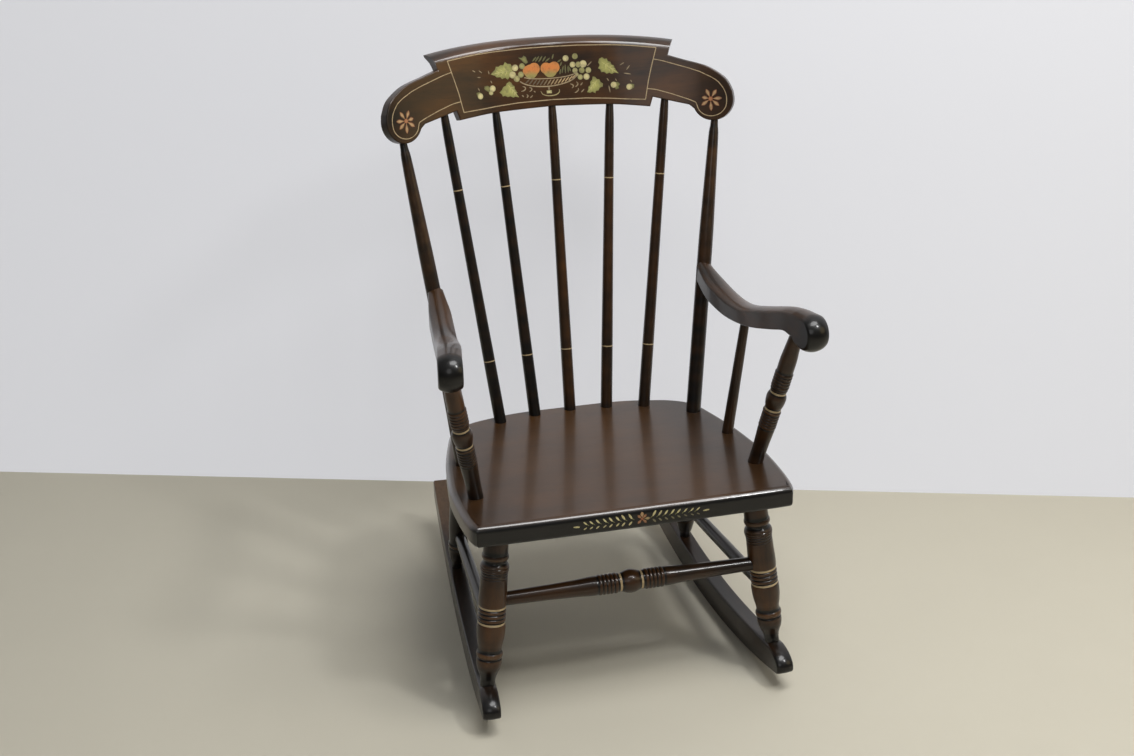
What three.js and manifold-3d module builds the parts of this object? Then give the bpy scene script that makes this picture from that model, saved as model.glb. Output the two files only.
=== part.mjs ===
// A turned and painted wooden rocking chair with a bent crest board, five back spindles,
// scroll arms and two long rockers.
// Millimetres. X runs to the right seen from the front, Y to the rear, Z up from the floor.
import * as THREE from 'three';
import Module from 'manifold-3d';
import { mergeVertices } from 'three/addons/utils/BufferGeometryUtils.js';
import { TessellateModifier } from 'three/addons/modifiers/TessellateModifier.js';

const wasm = await Module();
wasm.setup();

// Fits
const fitGap = 0.3;
const cutOverrun = 6;
const endStraight = 6;

// Rockers. Y values are taken from a plane near the chair's balance, forward is negative.
const rockerGauge = 500;
const rockerWidth = 30;
const rockerDepth = 48;
const rockerRadius = 1205;
const rockerTopRadius = 1330;
const rockerContact = -7;
const rockerFront = 300;
const rockerRear = 410;
const rockerEdge = 3;
const rockerCrown = 4;
const rockerCrownFade = 65;
const rockerNose = 48;
const rockerNoseTip = 9;
const rockerNoseRise = 1;
const rockerRearRound = 5;
const rockerToe = 3.5;
const rockerMortise = 22;

// Seat plank
const seatHalfWidth = 273;
const seatDepth = 457;
const seatBow = 4;
const seatThickness = 35.5;
const seatEdge = 7;
const seatFrontHeight = 371;
const seatFrontSetback = 267;
const seatSlope = 3.1;
const seatMortise = 22;

// Legs
const legRadius = 23.5;
const legTenonRadius = 13;
const frontLegHeadSpread = 215;
const frontLegHeadSetback = 208;
const frontLegFootSetback = 241;
const frontLegFootInset = 1;
const rearLegRadius = 19;
const rearLegHeadSpread = 208;
const rearLegHeadSetback = 122;
const rearLegFootSetback = 159;
const rearLegFootInset = 0;

// Stretchers, or rungs, between the legs
const frontRungHeight = 212.5;
const frontRungRadius = 19.5;
const sideRungFrontHeight = 165;
const sideRungRearHeight = 132;
const sideRungRadius = 11;
const rearRungHeight = 176;
const rearRungRadius = 9.5;
const rungTenon = 14;

// Back: crest board bent to a curve and leaned back on the spindles and posts
const crestRadius = 600;
const crestHalfLength = 315.5;
const crestRise = 108.4;
const crestThickness = 18;
const crestEdge = 2;
const crestBaseHeight = 882.5;
const crestBaseSetback = 262.8;
const crestLean = 14;
const crestMortise = 20;
const lobeRadius = 35.7;
const rollDepth = 31;
const rollRise = 13.5;
const boardFacet = 46;
const boardPasses = 24;
const spindleRadius = 10.6;
const spindleFootSpreads = [-133.7, -67, 0, 67, 133.7];
const spindleFootSetbacks = [147.5, 162.5, 169.5, 162.5, 147.5];
const spindleHeadArcs = [-196, -100.6, 0, 100.6, 196];
const postRadius = 13.2;
const postFootSpread = 211;
const postFootSetback = 94.5;

// Arms
const armWidth = 38;
const armRollRadius = 30.5;
const armEdge = 2.5;
const armCrown = 6.5;
const armFrontSpread = 285;
const armRearSpread = 240;
const armBow = 5.5;
const armRollSetback = 249;
const armRollRise = 28.5;
const armRearSetback = 144;
const armLowHeight = 598;
const armRearWidth = 25;
const armTaper = 75;
const armMortise = 15;
const armPostRadius = 16.5;
const armPostFootSpread = 237;
const armPostFootSetback = 153.5;
const armPostHeadSpread = 281;
const armPostHeadSetback = 202;
const armSpindleRadius = 9.9;
const armSpindleFootSpread = 235.5;
const armSpindleFootSetback = 19.5;
const armSpindleHeadSpread = 263;
const armSpindleHeadSetback = 17;
const armDowelRadius = 4;
const armDowelLength = 44;
const armDowelInPost = 9;
const armDowelDrop = 17;

// Facets round the turned pieces
const legSides = 18;
const postSides = 16;
const spindleSides = 12;
const dowelSides = 10;

// Finishes
const darkWalnut = { color: 0x2b1d16, roughness: 0.32, metalness: 0 };
const seatWalnut = { color: 0x35251d, roughness: 0.3, metalness: 0 };
const rawBeech = { color: 0xc9a777, roughness: 0.7, metalness: 0 };

const chair = new THREE.Group();
const rad = THREE.MathUtils.degToRad;

// The middle of the rockers' length is the chair's middle, so Y shifts by half their difference
const middleShift = (rockerFront - rockerRear) / 2;

function place(x, y, z) {
  return new THREE.Vector3(x, y + middleShift, z);
}

// The height of an outline of rising points at a place along it
function between(outline, along) {
  const after = outline.findIndex(([share]) => share >= along);
  const next = after < 0 ? outline.length - 1 : Math.max(after, 1);
  const [from, to] = [outline[next - 1], outline[next]];
  return THREE.MathUtils.mapLinear(along, from[0], to[0], from[1], to[1]);
}

// Solids

function solidOf(geometry) {
  const bare = geometry.clone();
  for (const name of Object.keys(bare.attributes)) {
    if (name !== 'position') bare.deleteAttribute(name);
  }
  const merged = mergeVertices(bare);
  return new wasm.Manifold(new wasm.Mesh({
    numProp: 3,
    vertProperties: new Float32Array(merged.attributes.position.array),
    triVerts: new Uint32Array(merged.index.array),
  }));
}

function geometryOf(solid) {
  const mesh = solid.getMesh();
  const geometry = new THREE.BufferGeometry();
  geometry.setAttribute('position', new THREE.BufferAttribute(new Float32Array(mesh.vertProperties), 3));
  geometry.setIndex(new THREE.BufferAttribute(new Uint32Array(mesh.triVerts), 1));
  geometry.computeVertexNormals();
  return geometry;
}

// Cuts tools given in chair coordinates out of a placed mesh
function carve(mesh, tools) {
  mesh.updateWorldMatrix(true, false);
  const toLocal = mesh.matrixWorld.clone().invert();
  let solid = solidOf(mesh.geometry);
  for (const tool of tools) {
    solid = solid.subtract(solidOf(tool.clone().applyMatrix4(toLocal)));
  }
  mesh.geometry = geometryOf(solid);
}

function addMesh(name, geometry, finish) {
  const mesh = new THREE.Mesh(geometry, new THREE.MeshStandardMaterial(finish));
  mesh.name = name;
  chair.add(mesh);
  return mesh;
}

const lengthwise = new THREE.Vector3(0, 1, 0);

// A round mortise with its mouth at a point on a turned piece's axis. A negative depth runs
// against the axis. Its facets line up with those of the piece that it takes.
function mortise(mouth, axis, radius, depth, sides) {
  const reach = Math.abs(depth) + cutOverrun;
  const tool = new THREE.CylinderGeometry(radius, radius, reach, sides);
  tool.translate(0, Math.sign(depth) * (reach / 2 - cutOverrun), 0);
  tool.applyQuaternion(new THREE.Quaternion().setFromUnitVectors(lengthwise, axis));
  tool.translate(mouth.x, mouth.y, mouth.z);
  return tool;
}

// A turned piece runs from its foot to its head. Its stations are [share of length, share of radius].
// Both ends are straight where they meet their neighbours, and carry on into their mortises.
function turned(name, finish, spec) {
  const axis = spec.head.clone().sub(spec.foot);
  const length = axis.length();
  axis.normalize();
  const footRadius = spec.stations[0][1] * spec.radius;
  const headRadius = spec.headRadius ?? spec.stations.at(-1)[1] * spec.radius;
  const body = spec.stations.map(([along, wide]) => [wide * spec.radius, along * length])
    .filter(([, y]) => y > endStraight && y < length - endStraight);
  const profile = [
    [0, -spec.footTenon], [footRadius, -spec.footTenon], [footRadius, endStraight],
    ...body,
    [headRadius, length - endStraight], [headRadius, length + spec.headTenon], [0, length + spec.headTenon],
  ];
  const points = profile.map(([r, y]) => new THREE.Vector2(r, y));
  const mesh = addMesh(name, new THREE.LatheGeometry(points, spec.sides), finish);
  mesh.position.copy(spec.foot);
  mesh.quaternion.setFromUnitVectors(lengthwise, axis);
  const footMortise = mortise(spec.foot, axis, footRadius + fitGap, -spec.footTenon - fitGap, spec.sides);
  const headMortise = mortise(spec.head, axis, headRadius + fitGap, spec.headTenon + fitGap, spec.sides);
  return { mesh, axis, length, footMortise, headMortise };
}

// Cross beads between two stations, for the fine turned rings
function beads(from, to, count, high, low) {
  const stations = [];
  const pitch = (to - from) / count;
  for (let i = 0; i < count; i++) {
    const start = from + i * pitch;
    stations.push([start, low], [start + pitch / 2, high]);
  }
  stations.push([to, low]);
  return stations;
}

// Boards with a crowned rim, laid out flat across their width

// Heights across the width, each with how far the rounded edge has drawn the rim in there
function boardLevels(width, edge) {
  const near = [0, 0.5, 1].map((share) => share * Math.PI / 2)
    .map((turn) => [edge * (1 - Math.cos(turn)), edge * (1 - Math.sin(turn))]);
  const middle = [0.25, 0.5, 0.75].map((share) => [THREE.MathUtils.lerp(edge, width - edge, share), 0]);
  const far = near.map(([height, inset]) => [width - height, inset]).reverse();
  return [...near, ...middle, ...far];
}

// How far an arc of the given rise has dropped at a height across the width
function crownDrop(width, crown, height) {
  const radius = (width ** 2 / 4 + crown ** 2) / (2 * crown);
  return radius - Math.sqrt(radius ** 2 - (height - width / 2) ** 2);
}

// The rim drawn in by a distance for each of its points
function drawnIn(rim, distanceAt) {
  return rim.map(({ point, share }, i) => {
    const before = point.clone().sub(rim.at(i - 1).point).normalize();
    const after = rim[(i + 1) % rim.length].point.clone().sub(point).normalize();
    const inward = new THREE.Vector2(-before.y - after.y, before.x + after.x).normalize();
    const spread = Math.max(inward.x * -before.y + inward.y * before.x, 0.5);
    return point.clone().addScaledVector(inward, distanceAt(share) / spread);
  });
}

// A rim is a list of points that runs anticlockwise, each with its share of the crown
function crownedBoard(rim, width, crown, edge) {
  const rings = boardLevels(width, edge).map(([height, inset]) => (
    drawnIn(rim, (share) => inset + share * crownDrop(width, crown, height))
      .map((point) => [point.x, point.y, height])
  ));
  const count = rim.length;
  const last = (rings.length - 1) * count;
  const index = [];
  for (let start = 0; start < last; start += count) {
    for (let i = 0; i < count; i++) {
      const from = start + i;
      const to = start + (i + 1) % count;
      index.push(from, to, to + count, from, to + count, from + count);
    }
  }
  const flat = rings[0].map(([x, y]) => new THREE.Vector2(x, y));
  for (const [a, b, c] of THREE.ShapeUtils.triangulateShape(flat, [])) {
    index.push(c, b, a, last + a, last + b, last + c);
  }
  const geometry = new THREE.BufferGeometry();
  geometry.setAttribute('position', new THREE.Float32BufferAttribute(rings.flat(2), 3));
  geometry.setIndex(index);
  geometry.computeVertexNormals();
  return geometry;
}

// Rockers

const toe = rad(rockerToe);

function rockerSpread(y) {
  return rockerGauge / 2 - (y + rockerFront) * Math.tan(toe);
}

// The lowest point of the rocking arc is under the chair's balance
function rockerBottom(y) {
  return rockerRadius - Math.sqrt(rockerRadius ** 2 - (y - rockerContact) ** 2);
}

function rockerTop(y) {
  return rockerDepth + rockerTopRadius - Math.sqrt(rockerTopRadius ** 2 - (y - rockerContact) ** 2);
}

// Shares of the nose's length and of the rocker's depth that shape the nose
const noseShares = { run: 0.5, low: 0.22, drop: 0.3, chinRun: 0.25, chinRise: 0.33, chinCrown: 0.5 };
const rockerSteps = 18;
const noseSteps = 9;

// The rocker's side outline as points of Y and Z, each with its share of the crown
function rockerRim() {
  const front = -rockerFront;
  const noseEnd = front + rockerNose;
  const rim = [];
  const tip = front + rockerNoseTip;
  const rearRound = rockerRear - rockerRearRound;
  for (let i = 0; i <= rockerSteps; i++) {
    const y = THREE.MathUtils.lerp(tip, rearRound, i / rockerSteps);
    rim.push({ point: new THREE.Vector2(y, rockerBottom(y)), share: 0 });
  }
  rim.push({ point: new THREE.Vector2(rockerRear, rockerBottom(rockerRear) + rockerRearRound), share: 0 });
  rim.push({ point: new THREE.Vector2(rockerRear, rockerTop(rockerRear) - rockerRearRound), share: 0 });
  for (let i = 0; i < rockerSteps; i++) {
    const y = THREE.MathUtils.lerp(rearRound, noseEnd, i / rockerSteps);
    const share = 1 - THREE.MathUtils.smoothstep(y, noseEnd, noseEnd + rockerCrownFade);
    rim.push({ point: new THREE.Vector2(y, rockerTop(y)), share });
  }
  const noseLow = THREE.MathUtils.lerp(rockerBottom(front), rockerTop(front), noseShares.low);
  const nose = new THREE.CubicBezierCurve(
    new THREE.Vector2(noseEnd, rockerTop(noseEnd)),
    new THREE.Vector2(noseEnd - rockerNose * noseShares.run, rockerTop(noseEnd) + rockerNoseRise),
    new THREE.Vector2(front, noseLow + rockerDepth * noseShares.drop),
    new THREE.Vector2(front, noseLow),
  );
  nose.getPoints(noseSteps).forEach((point) => rim.push({ point, share: 1 }));
  const chin = new THREE.Vector2(
    front + rockerNoseTip * noseShares.chinRun,
    rockerBottom(front) + rockerNoseTip * noseShares.chinRise,
  );
  rim.push({ point: chin, share: noseShares.chinCrown });
  return rim;
}

function rockerGeometry() {
  const geometry = crownedBoard(rockerRim(), rockerWidth, rockerCrown, rockerEdge);
  geometry.translate(0, 0, -rockerWidth / 2);
  geometry.rotateY(Math.PI / 2);
  geometry.rotateX(Math.PI / 2);
  return geometry;
}

function rocker(name, side) {
  const mesh = addMesh(name, rockerGeometry(), darkWalnut);
  mesh.position.copy(place(side * rockerSpread(0), 0, 0));
  mesh.rotation.z = side * toe;
  return mesh;
}

// Seat

const slope = rad(seatSlope);
const seatFront = -seatFrontSetback;

// Half of the plank's outline from the middle of the back to the front corner, as shares of the
// half width and of the depth from the front edge
const seatOutlineShares = [
  [0, 1], [0.28, 0.998], [0.43, 0.988], [0.55, 0.97], [0.66, 0.95], [0.745, 0.922], [0.81, 0.887],
  [0.85, 0.843], [0.882, 0.773], [0.917, 0.685], [0.951, 0.583], [0.979, 0.457], [0.998, 0.348],
  [1, 0.26], [0.991, 0.129], [0.974, 0.041], [0.947, 0],
];

function seatGeometry() {
  const widthInside = 1 - seatEdge / seatHalfWidth;
  const half = seatOutlineShares.map(([x, s]) => new THREE.Vector2(
    x * seatHalfWidth * widthInside,
    THREE.MathUtils.lerp(seatEdge, seatDepth - seatEdge, s),
  ));
  const right = new THREE.SplineCurve(half).getPoints(24);
  const left = right.map((p) => new THREE.Vector2(-p.x, p.y)).reverse();
  const shape = new THREE.Shape(right);
  shape.quadraticCurveTo(0, seatEdge - 2 * seatBow, left[0].x, left[0].y);
  left.slice(1, -1).forEach((p) => shape.lineTo(p.x, p.y));
  const geometry = new THREE.ExtrudeGeometry(shape, {
    depth: seatThickness - 2 * seatEdge, steps: 1, curveSegments: 8,
    bevelEnabled: true, bevelThickness: seatEdge, bevelSize: seatEdge, bevelSegments: 2,
  });
  geometry.translate(0, 0, seatEdge - seatThickness);
  return geometry;
}

const seat = addMesh('seat', seatGeometry(), seatWalnut);
seat.position.copy(place(0, seatFront, seatFrontHeight));
seat.rotation.x = -slope;

function seatTop(y) {
  return seatFrontHeight - (y - seatFront) * Math.tan(slope);
}

function seatBottom(y) {
  return seatTop(y) - seatThickness / Math.cos(slope);
}

// Crest board: laid out flat as (arc length, height, distance in front of its front face),
// then bent and leaned back

const lean = rad(crestLean);
const leanUp = new THREE.Vector3(0, Math.sin(lean), Math.cos(lean));
const leanBack = new THREE.Vector3(0, Math.cos(lean), -Math.sin(lean));

function bendPoint(arc, height, depth) {
  const angle = arc / crestRadius;
  const reach = crestRadius + depth;
  return place(reach * Math.sin(angle), crestBaseSetback, crestBaseHeight)
    .addScaledVector(leanUp, height)
    .addScaledVector(leanBack, reach * Math.cos(angle) - crestRadius);
}

// Shares of the half length and of the rise. The panel ends slant in towards the bottom.
const panelTopShare = [0.665, 0.816];
const panelStepShare = [0.652, 0.695];
const earStepShare = [0.558, 0.049];
const panelFootShare = [0.54, -0.1];
const lowerEdgeShares = [[0, 0.018], [0.2, -0.002], [0.355, -0.028]];
const earLowerShares = [[0.65, -0.03], [0.755, -0.115]];
const earUpperShares = [[0.745, 0.597], [0.848, 0.494], [0.916, 0.375], [0.967, 0.235], [0.995, 0.055]];
const topEdgeShares = [[0.455, 0.915], [0.17, 1], [0, 1]];
const lobeCentreShare = [0.886, -0.06];
const lobeFromDegrees = 5;
const lobeToDegrees = -158;

function crestFlat([along, up]) {
  return new THREE.Vector2(along * crestHalfLength, up * crestRise);
}

function crestHalfOutline() {
  const lobeCentre = crestFlat(lobeCentreShare);
  const lobe = [];
  const lobeSteps = 9;
  for (let i = 0; i <= lobeSteps; i++) {
    const angle = rad(THREE.MathUtils.lerp(lobeToDegrees, lobeFromDegrees, i / lobeSteps));
    lobe.push(new THREE.Vector2(Math.cos(angle), Math.sin(angle)).multiplyScalar(lobeRadius).add(lobeCentre));
  }
  const smooth = (shares, count) => new THREE.SplineCurve(shares.map(crestFlat)).getPoints(count);
  return [
    ...smooth([...lowerEdgeShares, panelFootShare], 6),
    ...smooth([earStepShare, ...earLowerShares], 4),
    ...lobe,
    ...smooth([...earUpperShares].reverse(), 8),
    crestFlat(panelStepShare),
    ...smooth([panelTopShare, ...topEdgeShares], 8),
  ];
}

function boardGeometry() {
  const right = crestHalfOutline();
  const left = right.slice(1, -1).map((p) => new THREE.Vector2(-p.x, p.y)).reverse();
  const shape = new THREE.Shape([...right, ...left]);
  const geometry = new THREE.ExtrudeGeometry(shape, {
    depth: crestThickness - 2 * crestEdge, steps: 1,
    bevelEnabled: true, bevelThickness: crestEdge, bevelSize: crestEdge, bevelOffset: -crestEdge,
    bevelSegments: 2,
  });
  geometry.translate(0, 0, crestEdge - crestThickness);
  return geometry;
}

// The rolled top of the middle panel, drawn as (share of roll depth, share of roll rise)
const rollOuterShares = [[0, -1], [0, -0.2], [0.06, 0.06], [0.18, 0.36], [0.4, 0.68], [0.68, 0.9],
  [0.94, 1], [1, 0.94], [1, 0.68]];
const rollInnerShares = [[0.84, 0.36], [0.68, -0.06], [0.6, -0.5]];

const topEdgePower = 2.2;

function topEdgeHeight(share) {
  const end = panelTopShare[1] * crestRise;
  return THREE.MathUtils.lerp(crestRise, end, Math.abs(share) ** topEdgePower);
}

function rollGeometry() {
  const panelHalf = panelTopShare[0] * crestHalfLength;
  const endSlant = (panelTopShare[0] - panelStepShare[0]) * crestHalfLength
    / ((panelTopShare[1] - panelStepShare[1]) * crestRise);
  const outer = rollOuterShares.map(([d, r]) => new THREE.Vector2(d * rollDepth, r * rollRise));
  const inner = rollInnerShares.map(([d, r]) => new THREE.Vector2(d * rollDepth, r * rollRise));
  const rootPoint = new THREE.Vector2(crestThickness, -rollRise);
  const section = new THREE.Shape([...outer, ...inner, rootPoint].reverse());
  const geometry = new THREE.ExtrudeGeometry(section, { depth: 1, steps: 14, bevelEnabled: false });
  const position = geometry.attributes.position;
  for (let i = 0; i < position.count; i++) {
    const depth = position.getX(i);
    const rise = position.getY(i);
    const share = THREE.MathUtils.lerp(-1, 1, position.getZ(i));
    const height = topEdgeHeight(share) + rise;
    const end = panelHalf + (height - panelTopShare[1] * crestRise) * endSlant;
    position.setXYZ(i, share * end, height, -depth);
  }
  return geometry;
}

function bend(flat) {
  const fine = new TessellateModifier(boardFacet, boardPasses).modify(flat.toNonIndexed());
  const position = fine.attributes.position;
  for (let i = 0; i < position.count; i++) {
    const point = bendPoint(position.getX(i), position.getY(i), -position.getZ(i));
    position.setXYZ(i, point.x, point.y, point.z);
  }
  return fine;
}

const crestSolid = solidOf(boardGeometry()).add(solidOf(rollGeometry()));
const crest = addMesh('crest_rail', bend(geometryOf(crestSolid)), darkWalnut);

// Height of the board's lower edge at an arc length
function crestLowerHeight(arc) {
  const along = Math.abs(arc) / crestHalfLength;
  const edge = along < panelFootShare[0]
    ? [...lowerEdgeShares, panelFootShare]
    : [earStepShare, ...earLowerShares];
  return crestRise * between(edge, along);
}

// Back spindles and posts

const spindleStations = [[0, 1], [0.1, 0.988], [0.21, 0.97], [0.33, 0.93], [0.51, 0.875], [0.69, 0.825],
  [0.87, 0.78], [0.94, 0.75], [0.975, 0.69], [1, 0.62]];
const spindles = spindleFootSpreads.map((spread, i) => {
  const footY = spindleFootSetbacks[i];
  const arc = spindleHeadArcs[i];
  return turned(`back_spindle_${i + 1}`, darkWalnut, {
    foot: place(spread, footY, seatTop(footY)),
    head: bendPoint(arc, crestLowerHeight(arc), crestThickness / 2),
    radius: spindleRadius, stations: spindleStations, sides: spindleSides,
    footTenon: seatMortise, headTenon: crestMortise,
  });
});

const postStations = [[0, 1], [0.2, 0.992], [0.33, 0.985], [0.45, 0.975], [0.57, 0.962], [0.63, 0.94],
  [0.69, 0.895], [0.75, 0.845], [0.81, 0.795], [0.87, 0.74], [0.93, 0.68], [0.965, 0.62], [0.985, 0.51],
  [1, 0.48]];
const postAtArmShare = 0.975;
const lobeFoot = lobeCentreShare[1] * crestRise - lobeRadius;
const postHeadArc = lobeCentreShare[0] * crestHalfLength;

function backPost(name, side) {
  return turned(name, darkWalnut, {
    foot: place(side * postFootSpread, postFootSetback, seatTop(postFootSetback)),
    head: bendPoint(side * postHeadArc, lobeFoot, crestThickness / 2),
    radius: postRadius, stations: postStations, sides: postSides,
    footTenon: seatMortise, headTenon: crestMortise,
  });
}

// Arms: the side outline is a scroll, extruded across the arm's width

const armLength = armRollSetback + armRearSetback;
const armToe = Math.atan((armFrontSpread - armRearSpread) / armLength);

// Height of the arm's upper and lower edge above its low point, as shares of the length from the
// rear end and of the roll radius
const armUpperShares = [[0, 0.66], [0.094, 0.33], [0.196, 0.1], [0.323, -0.03], [0.425, 0.03],
  [0.527, 0.3], [0.667, 0.88], [0.756, 1.28], [0.847, 1.66], [0.921, 1.85]];
const armLowerShares = [[0.906, 0.47], [0.855, 0.47], [0.753, 0.04], [0.595, -0.59], [0.458, -0.95],
  [0.313, -1.11], [0.145, -0.95], [0.015, -0.56], [0, -0.5]];

function armFlat([along, up]) {
  return new THREE.Vector2(along * armLength, armLowHeight + up * armRollRadius);
}

// Towards the chair's middle, where the arm curves in between its ends
function armBowAt(share) {
  return 4 * armBow * share * (1 - share);
}

// The scroll's round front end, from the arm's top round to its underside
const armRollFromDegrees = 92;
const armRollToDegrees = -155;
const armRollFlatDegrees = -100;

function armRollRim() {
  const roll = new THREE.Vector2(armLength, armLowHeight + armRollRise);
  const rim = [];
  const rollSteps = 12;
  for (let i = 0; i <= rollSteps; i++) {
    const degrees = THREE.MathUtils.lerp(armRollFromDegrees, armRollToDegrees, i / rollSteps);
    const out = new THREE.Vector2(Math.cos(rad(degrees)), Math.sin(rad(degrees)));
    const share = THREE.MathUtils.smoothstep(degrees, armRollToDegrees, armRollFlatDegrees);
    rim.push({ point: out.multiplyScalar(armRollRadius).add(roll), share });
  }
  return rim;
}

function armRim() {
  const smooth = (shares, count) => new THREE.SplineCurve(shares.map(armFlat)).getPoints(count);
  const upper = smooth(armUpperShares, 16).map((point) => ({ point, share: 1 }));
  const lower = smooth(armLowerShares, 14).map((point) => ({ point, share: 0 }));
  return [...upper, ...armRollRim(), ...lower].reverse();
}

function armGeometry(side) {
  const geometry = crownedBoard(armRim(), armWidth, armCrown, armEdge);
  geometry.translate(0, 0, -armWidth / 2);
  const position = geometry.attributes.position;
  for (let i = 0; i < position.count; i++) {
    const along = position.getX(i);
    const narrow = THREE.MathUtils.smoothstep(along, -armTaper / 4, armTaper);
    const width = THREE.MathUtils.lerp(armRearWidth / armWidth, 1, narrow);
    const bowed = side * armBowAt(THREE.MathUtils.clamp(along / armLength, 0, 1));
    position.setXYZ(i, -position.getZ(i) * width - bowed, -along, position.getY(i));
  }
  return geometry;
}

function arm(name, side) {
  const mesh = addMesh(name, armGeometry(side), darkWalnut);
  mesh.position.copy(place(side * armRearSpread, armRearSetback, 0));
  mesh.rotation.z = side * armToe;
  return mesh;
}

// Height of the arm's underside over a point along its length
function armUnderside(setback) {
  const along = (armRearSetback - setback) / armLength;
  return armLowHeight + between([...armLowerShares].reverse(), along) * armRollRadius;
}

const armPostStations = [
  [0, 0.755], [0.06, 0.75], [0.12, 0.76], [0.19, 0.8], [0.27, 0.86],
  ...beads(0.28, 0.385, 5, 0.895, 0.85),
  [0.393, 0.91], [0.405, 0.925], [0.413, 0.83], [0.418, 0.835], [0.429, 0.835], [0.434, 0.83],
  [0.449, 0.9], [0.47, 0.96], [0.49, 0.995], [0.508, 1], [0.526, 0.95], [0.54, 0.86], [0.546, 0.83],
  [0.559, 0.83], [0.563, 0.82], [0.575, 0.885],
  ...beads(0.585, 0.7, 5, 0.91, 0.865),
  [0.77, 0.84], [0.87, 0.745], [1, 0.6],
];
const armSpindleStations = [[0, 1], [0.06, 0.985], [0.15, 0.957], [0.3, 0.94], [0.45, 0.89], [0.6, 0.87],
  [0.75, 0.83], [0.9, 0.785], [1, 0.76]];

function armPost(name, side) {
  return turned(name, darkWalnut, {
    foot: place(side * armPostFootSpread, -armPostFootSetback, seatTop(-armPostFootSetback)),
    head: place(side * armPostHeadSpread, -armPostHeadSetback, armUnderside(-armPostHeadSetback)),
    radius: armPostRadius, stations: armPostStations, sides: postSides,
    footTenon: seatMortise, headTenon: armMortise,
  });
}

function armSpindle(name, side) {
  return turned(name, darkWalnut, {
    foot: place(side * armSpindleFootSpread, -armSpindleFootSetback, seatTop(-armSpindleFootSetback)),
    head: place(side * armSpindleHeadSpread, -armSpindleHeadSetback, armUnderside(-armSpindleHeadSetback)),
    radius: armSpindleRadius, stations: armSpindleStations, sides: spindleSides,
    footTenon: seatMortise, headTenon: armMortise,
  });
}

// A blind dowel from the arm's rear end into the back post
function armDowel(name, side) {
  const forward = new THREE.Vector3(side * Math.sin(armToe), -Math.cos(armToe), 0);
  const height = armFlat(armUpperShares[0]).y - armDowelDrop;
  const start = place(side * armRearSpread, armRearSetback, height).addScaledVector(forward, -armDowelInPost);
  const dowel = new THREE.CylinderGeometry(armDowelRadius, armDowelRadius, armDowelLength, dowelSides);
  const mesh = addMesh(name, dowel, rawBeech);
  mesh.position.copy(start).addScaledVector(forward, armDowelLength / 2);
  mesh.quaternion.setFromUnitVectors(lengthwise, forward);
  const reach = armDowelLength + 2 * fitGap;
  const boreRadius = armDowelRadius + fitGap;
  const bore = new THREE.CylinderGeometry(boreRadius, boreRadius, reach, dowelSides);
  bore.applyQuaternion(mesh.quaternion);
  bore.translate(mesh.position.x, mesh.position.y, mesh.position.z);
  return { mesh, bore };
}

// Legs, from the rocker up to the seat

const frontLegStations = [
  [0, 0.52], [0.028, 0.52], [0.05, 0.56], [0.079, 0.67], [0.112, 0.81], [0.146, 0.88], [0.168, 0.88],
  [0.179, 0.83], [0.188, 0.9], [0.2, 0.925], [0.212, 0.91], [0.22, 0.84], [0.229, 0.81], [0.25, 0.83],
  [0.28, 0.895], [0.315, 0.955], [0.35, 0.99], [0.38, 1], [0.402, 0.975], [0.405, 0.945], [0.417, 0.945],
  ...beads(0.421, 0.502, 3, 0.96, 0.9),
  [0.506, 0.945], [0.518, 0.945], [0.521, 0.96], [0.57, 0.975], [0.62, 0.96], [0.665, 0.94],
  [0.712, 0.93], [0.735, 0.945], [0.749, 0.985], [0.762, 1], [0.777, 0.975], [0.79, 0.89],
  [0.801, 0.8], [0.808, 0.8], [0.819, 0.89], [0.831, 0.93], [0.844, 0.91], [0.857, 0.86],
  [0.905, 0.85], [0.964, 0.83],
];
const rearLegStations = [
  [0, 0.5], [0.03, 0.53], [0.07, 0.7], [0.12, 0.86], [0.165, 0.93], [0.185, 0.86], [0.195, 0.97],
  [0.21, 0.97], [0.22, 0.88], [0.35, 0.98], [0.5, 1], [0.7, 0.95], [0.85, 0.9], [0.96, 0.88],
];

function leg(name, side, spec) {
  return turned(name, darkWalnut, {
    foot: place(side * (rockerSpread(spec.footY) - spec.footInset), spec.footY, rockerTop(spec.footY)),
    head: place(side * spec.headSpread, spec.headY, seatBottom(spec.headY)),
    radius: spec.radius, stations: spec.stations, sides: legSides,
    footTenon: rockerMortise, headTenon: seatMortise, headRadius: legTenonRadius,
  });
}

const frontLegSpec = {
  footY: -frontLegFootSetback, footInset: frontLegFootInset, headY: -frontLegHeadSetback,
  headSpread: frontLegHeadSpread, radius: legRadius, stations: frontLegStations,
};
const rearLegSpec = {
  footY: rearLegFootSetback, footInset: rearLegFootInset, headY: rearLegHeadSetback,
  headSpread: rearLegHeadSpread, radius: rearLegRadius, stations: rearLegStations,
};

// A point on a turned piece's centre line at a height
function onAxis(piece, height) {
  const from = piece.mesh.position;
  return from.clone().addScaledVector(piece.axis, (height - from.z) / piece.axis.z);
}

// Stretchers are set into the legs: their ends stop short of each leg's far side

const frontStretcherHalfStations = [
  [0, 1], [0.03, 0.96], [0.055, 0.87], [0.072, 0.8], [0.078, 0.785], [0.094, 0.785], [0.1, 0.8],
  ...beads(0.11, 0.265, 5, 0.87, 0.8), [0.285, 0.82], [0.44, 0.73], [0.66, 0.655], [1, 0.585],
];
const plainStretcherStations = [[0, 0.86], [0.25, 0.97], [0.5, 1], [0.75, 0.97], [1, 0.86]];

function mirroredStations(half) {
  const right = half.map(([along, wide]) => [0.5 + along / 2, wide]);
  const left = half.slice(1).map(([along, wide]) => [0.5 - along / 2, wide]).reverse();
  return [...left, ...right];
}

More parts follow.
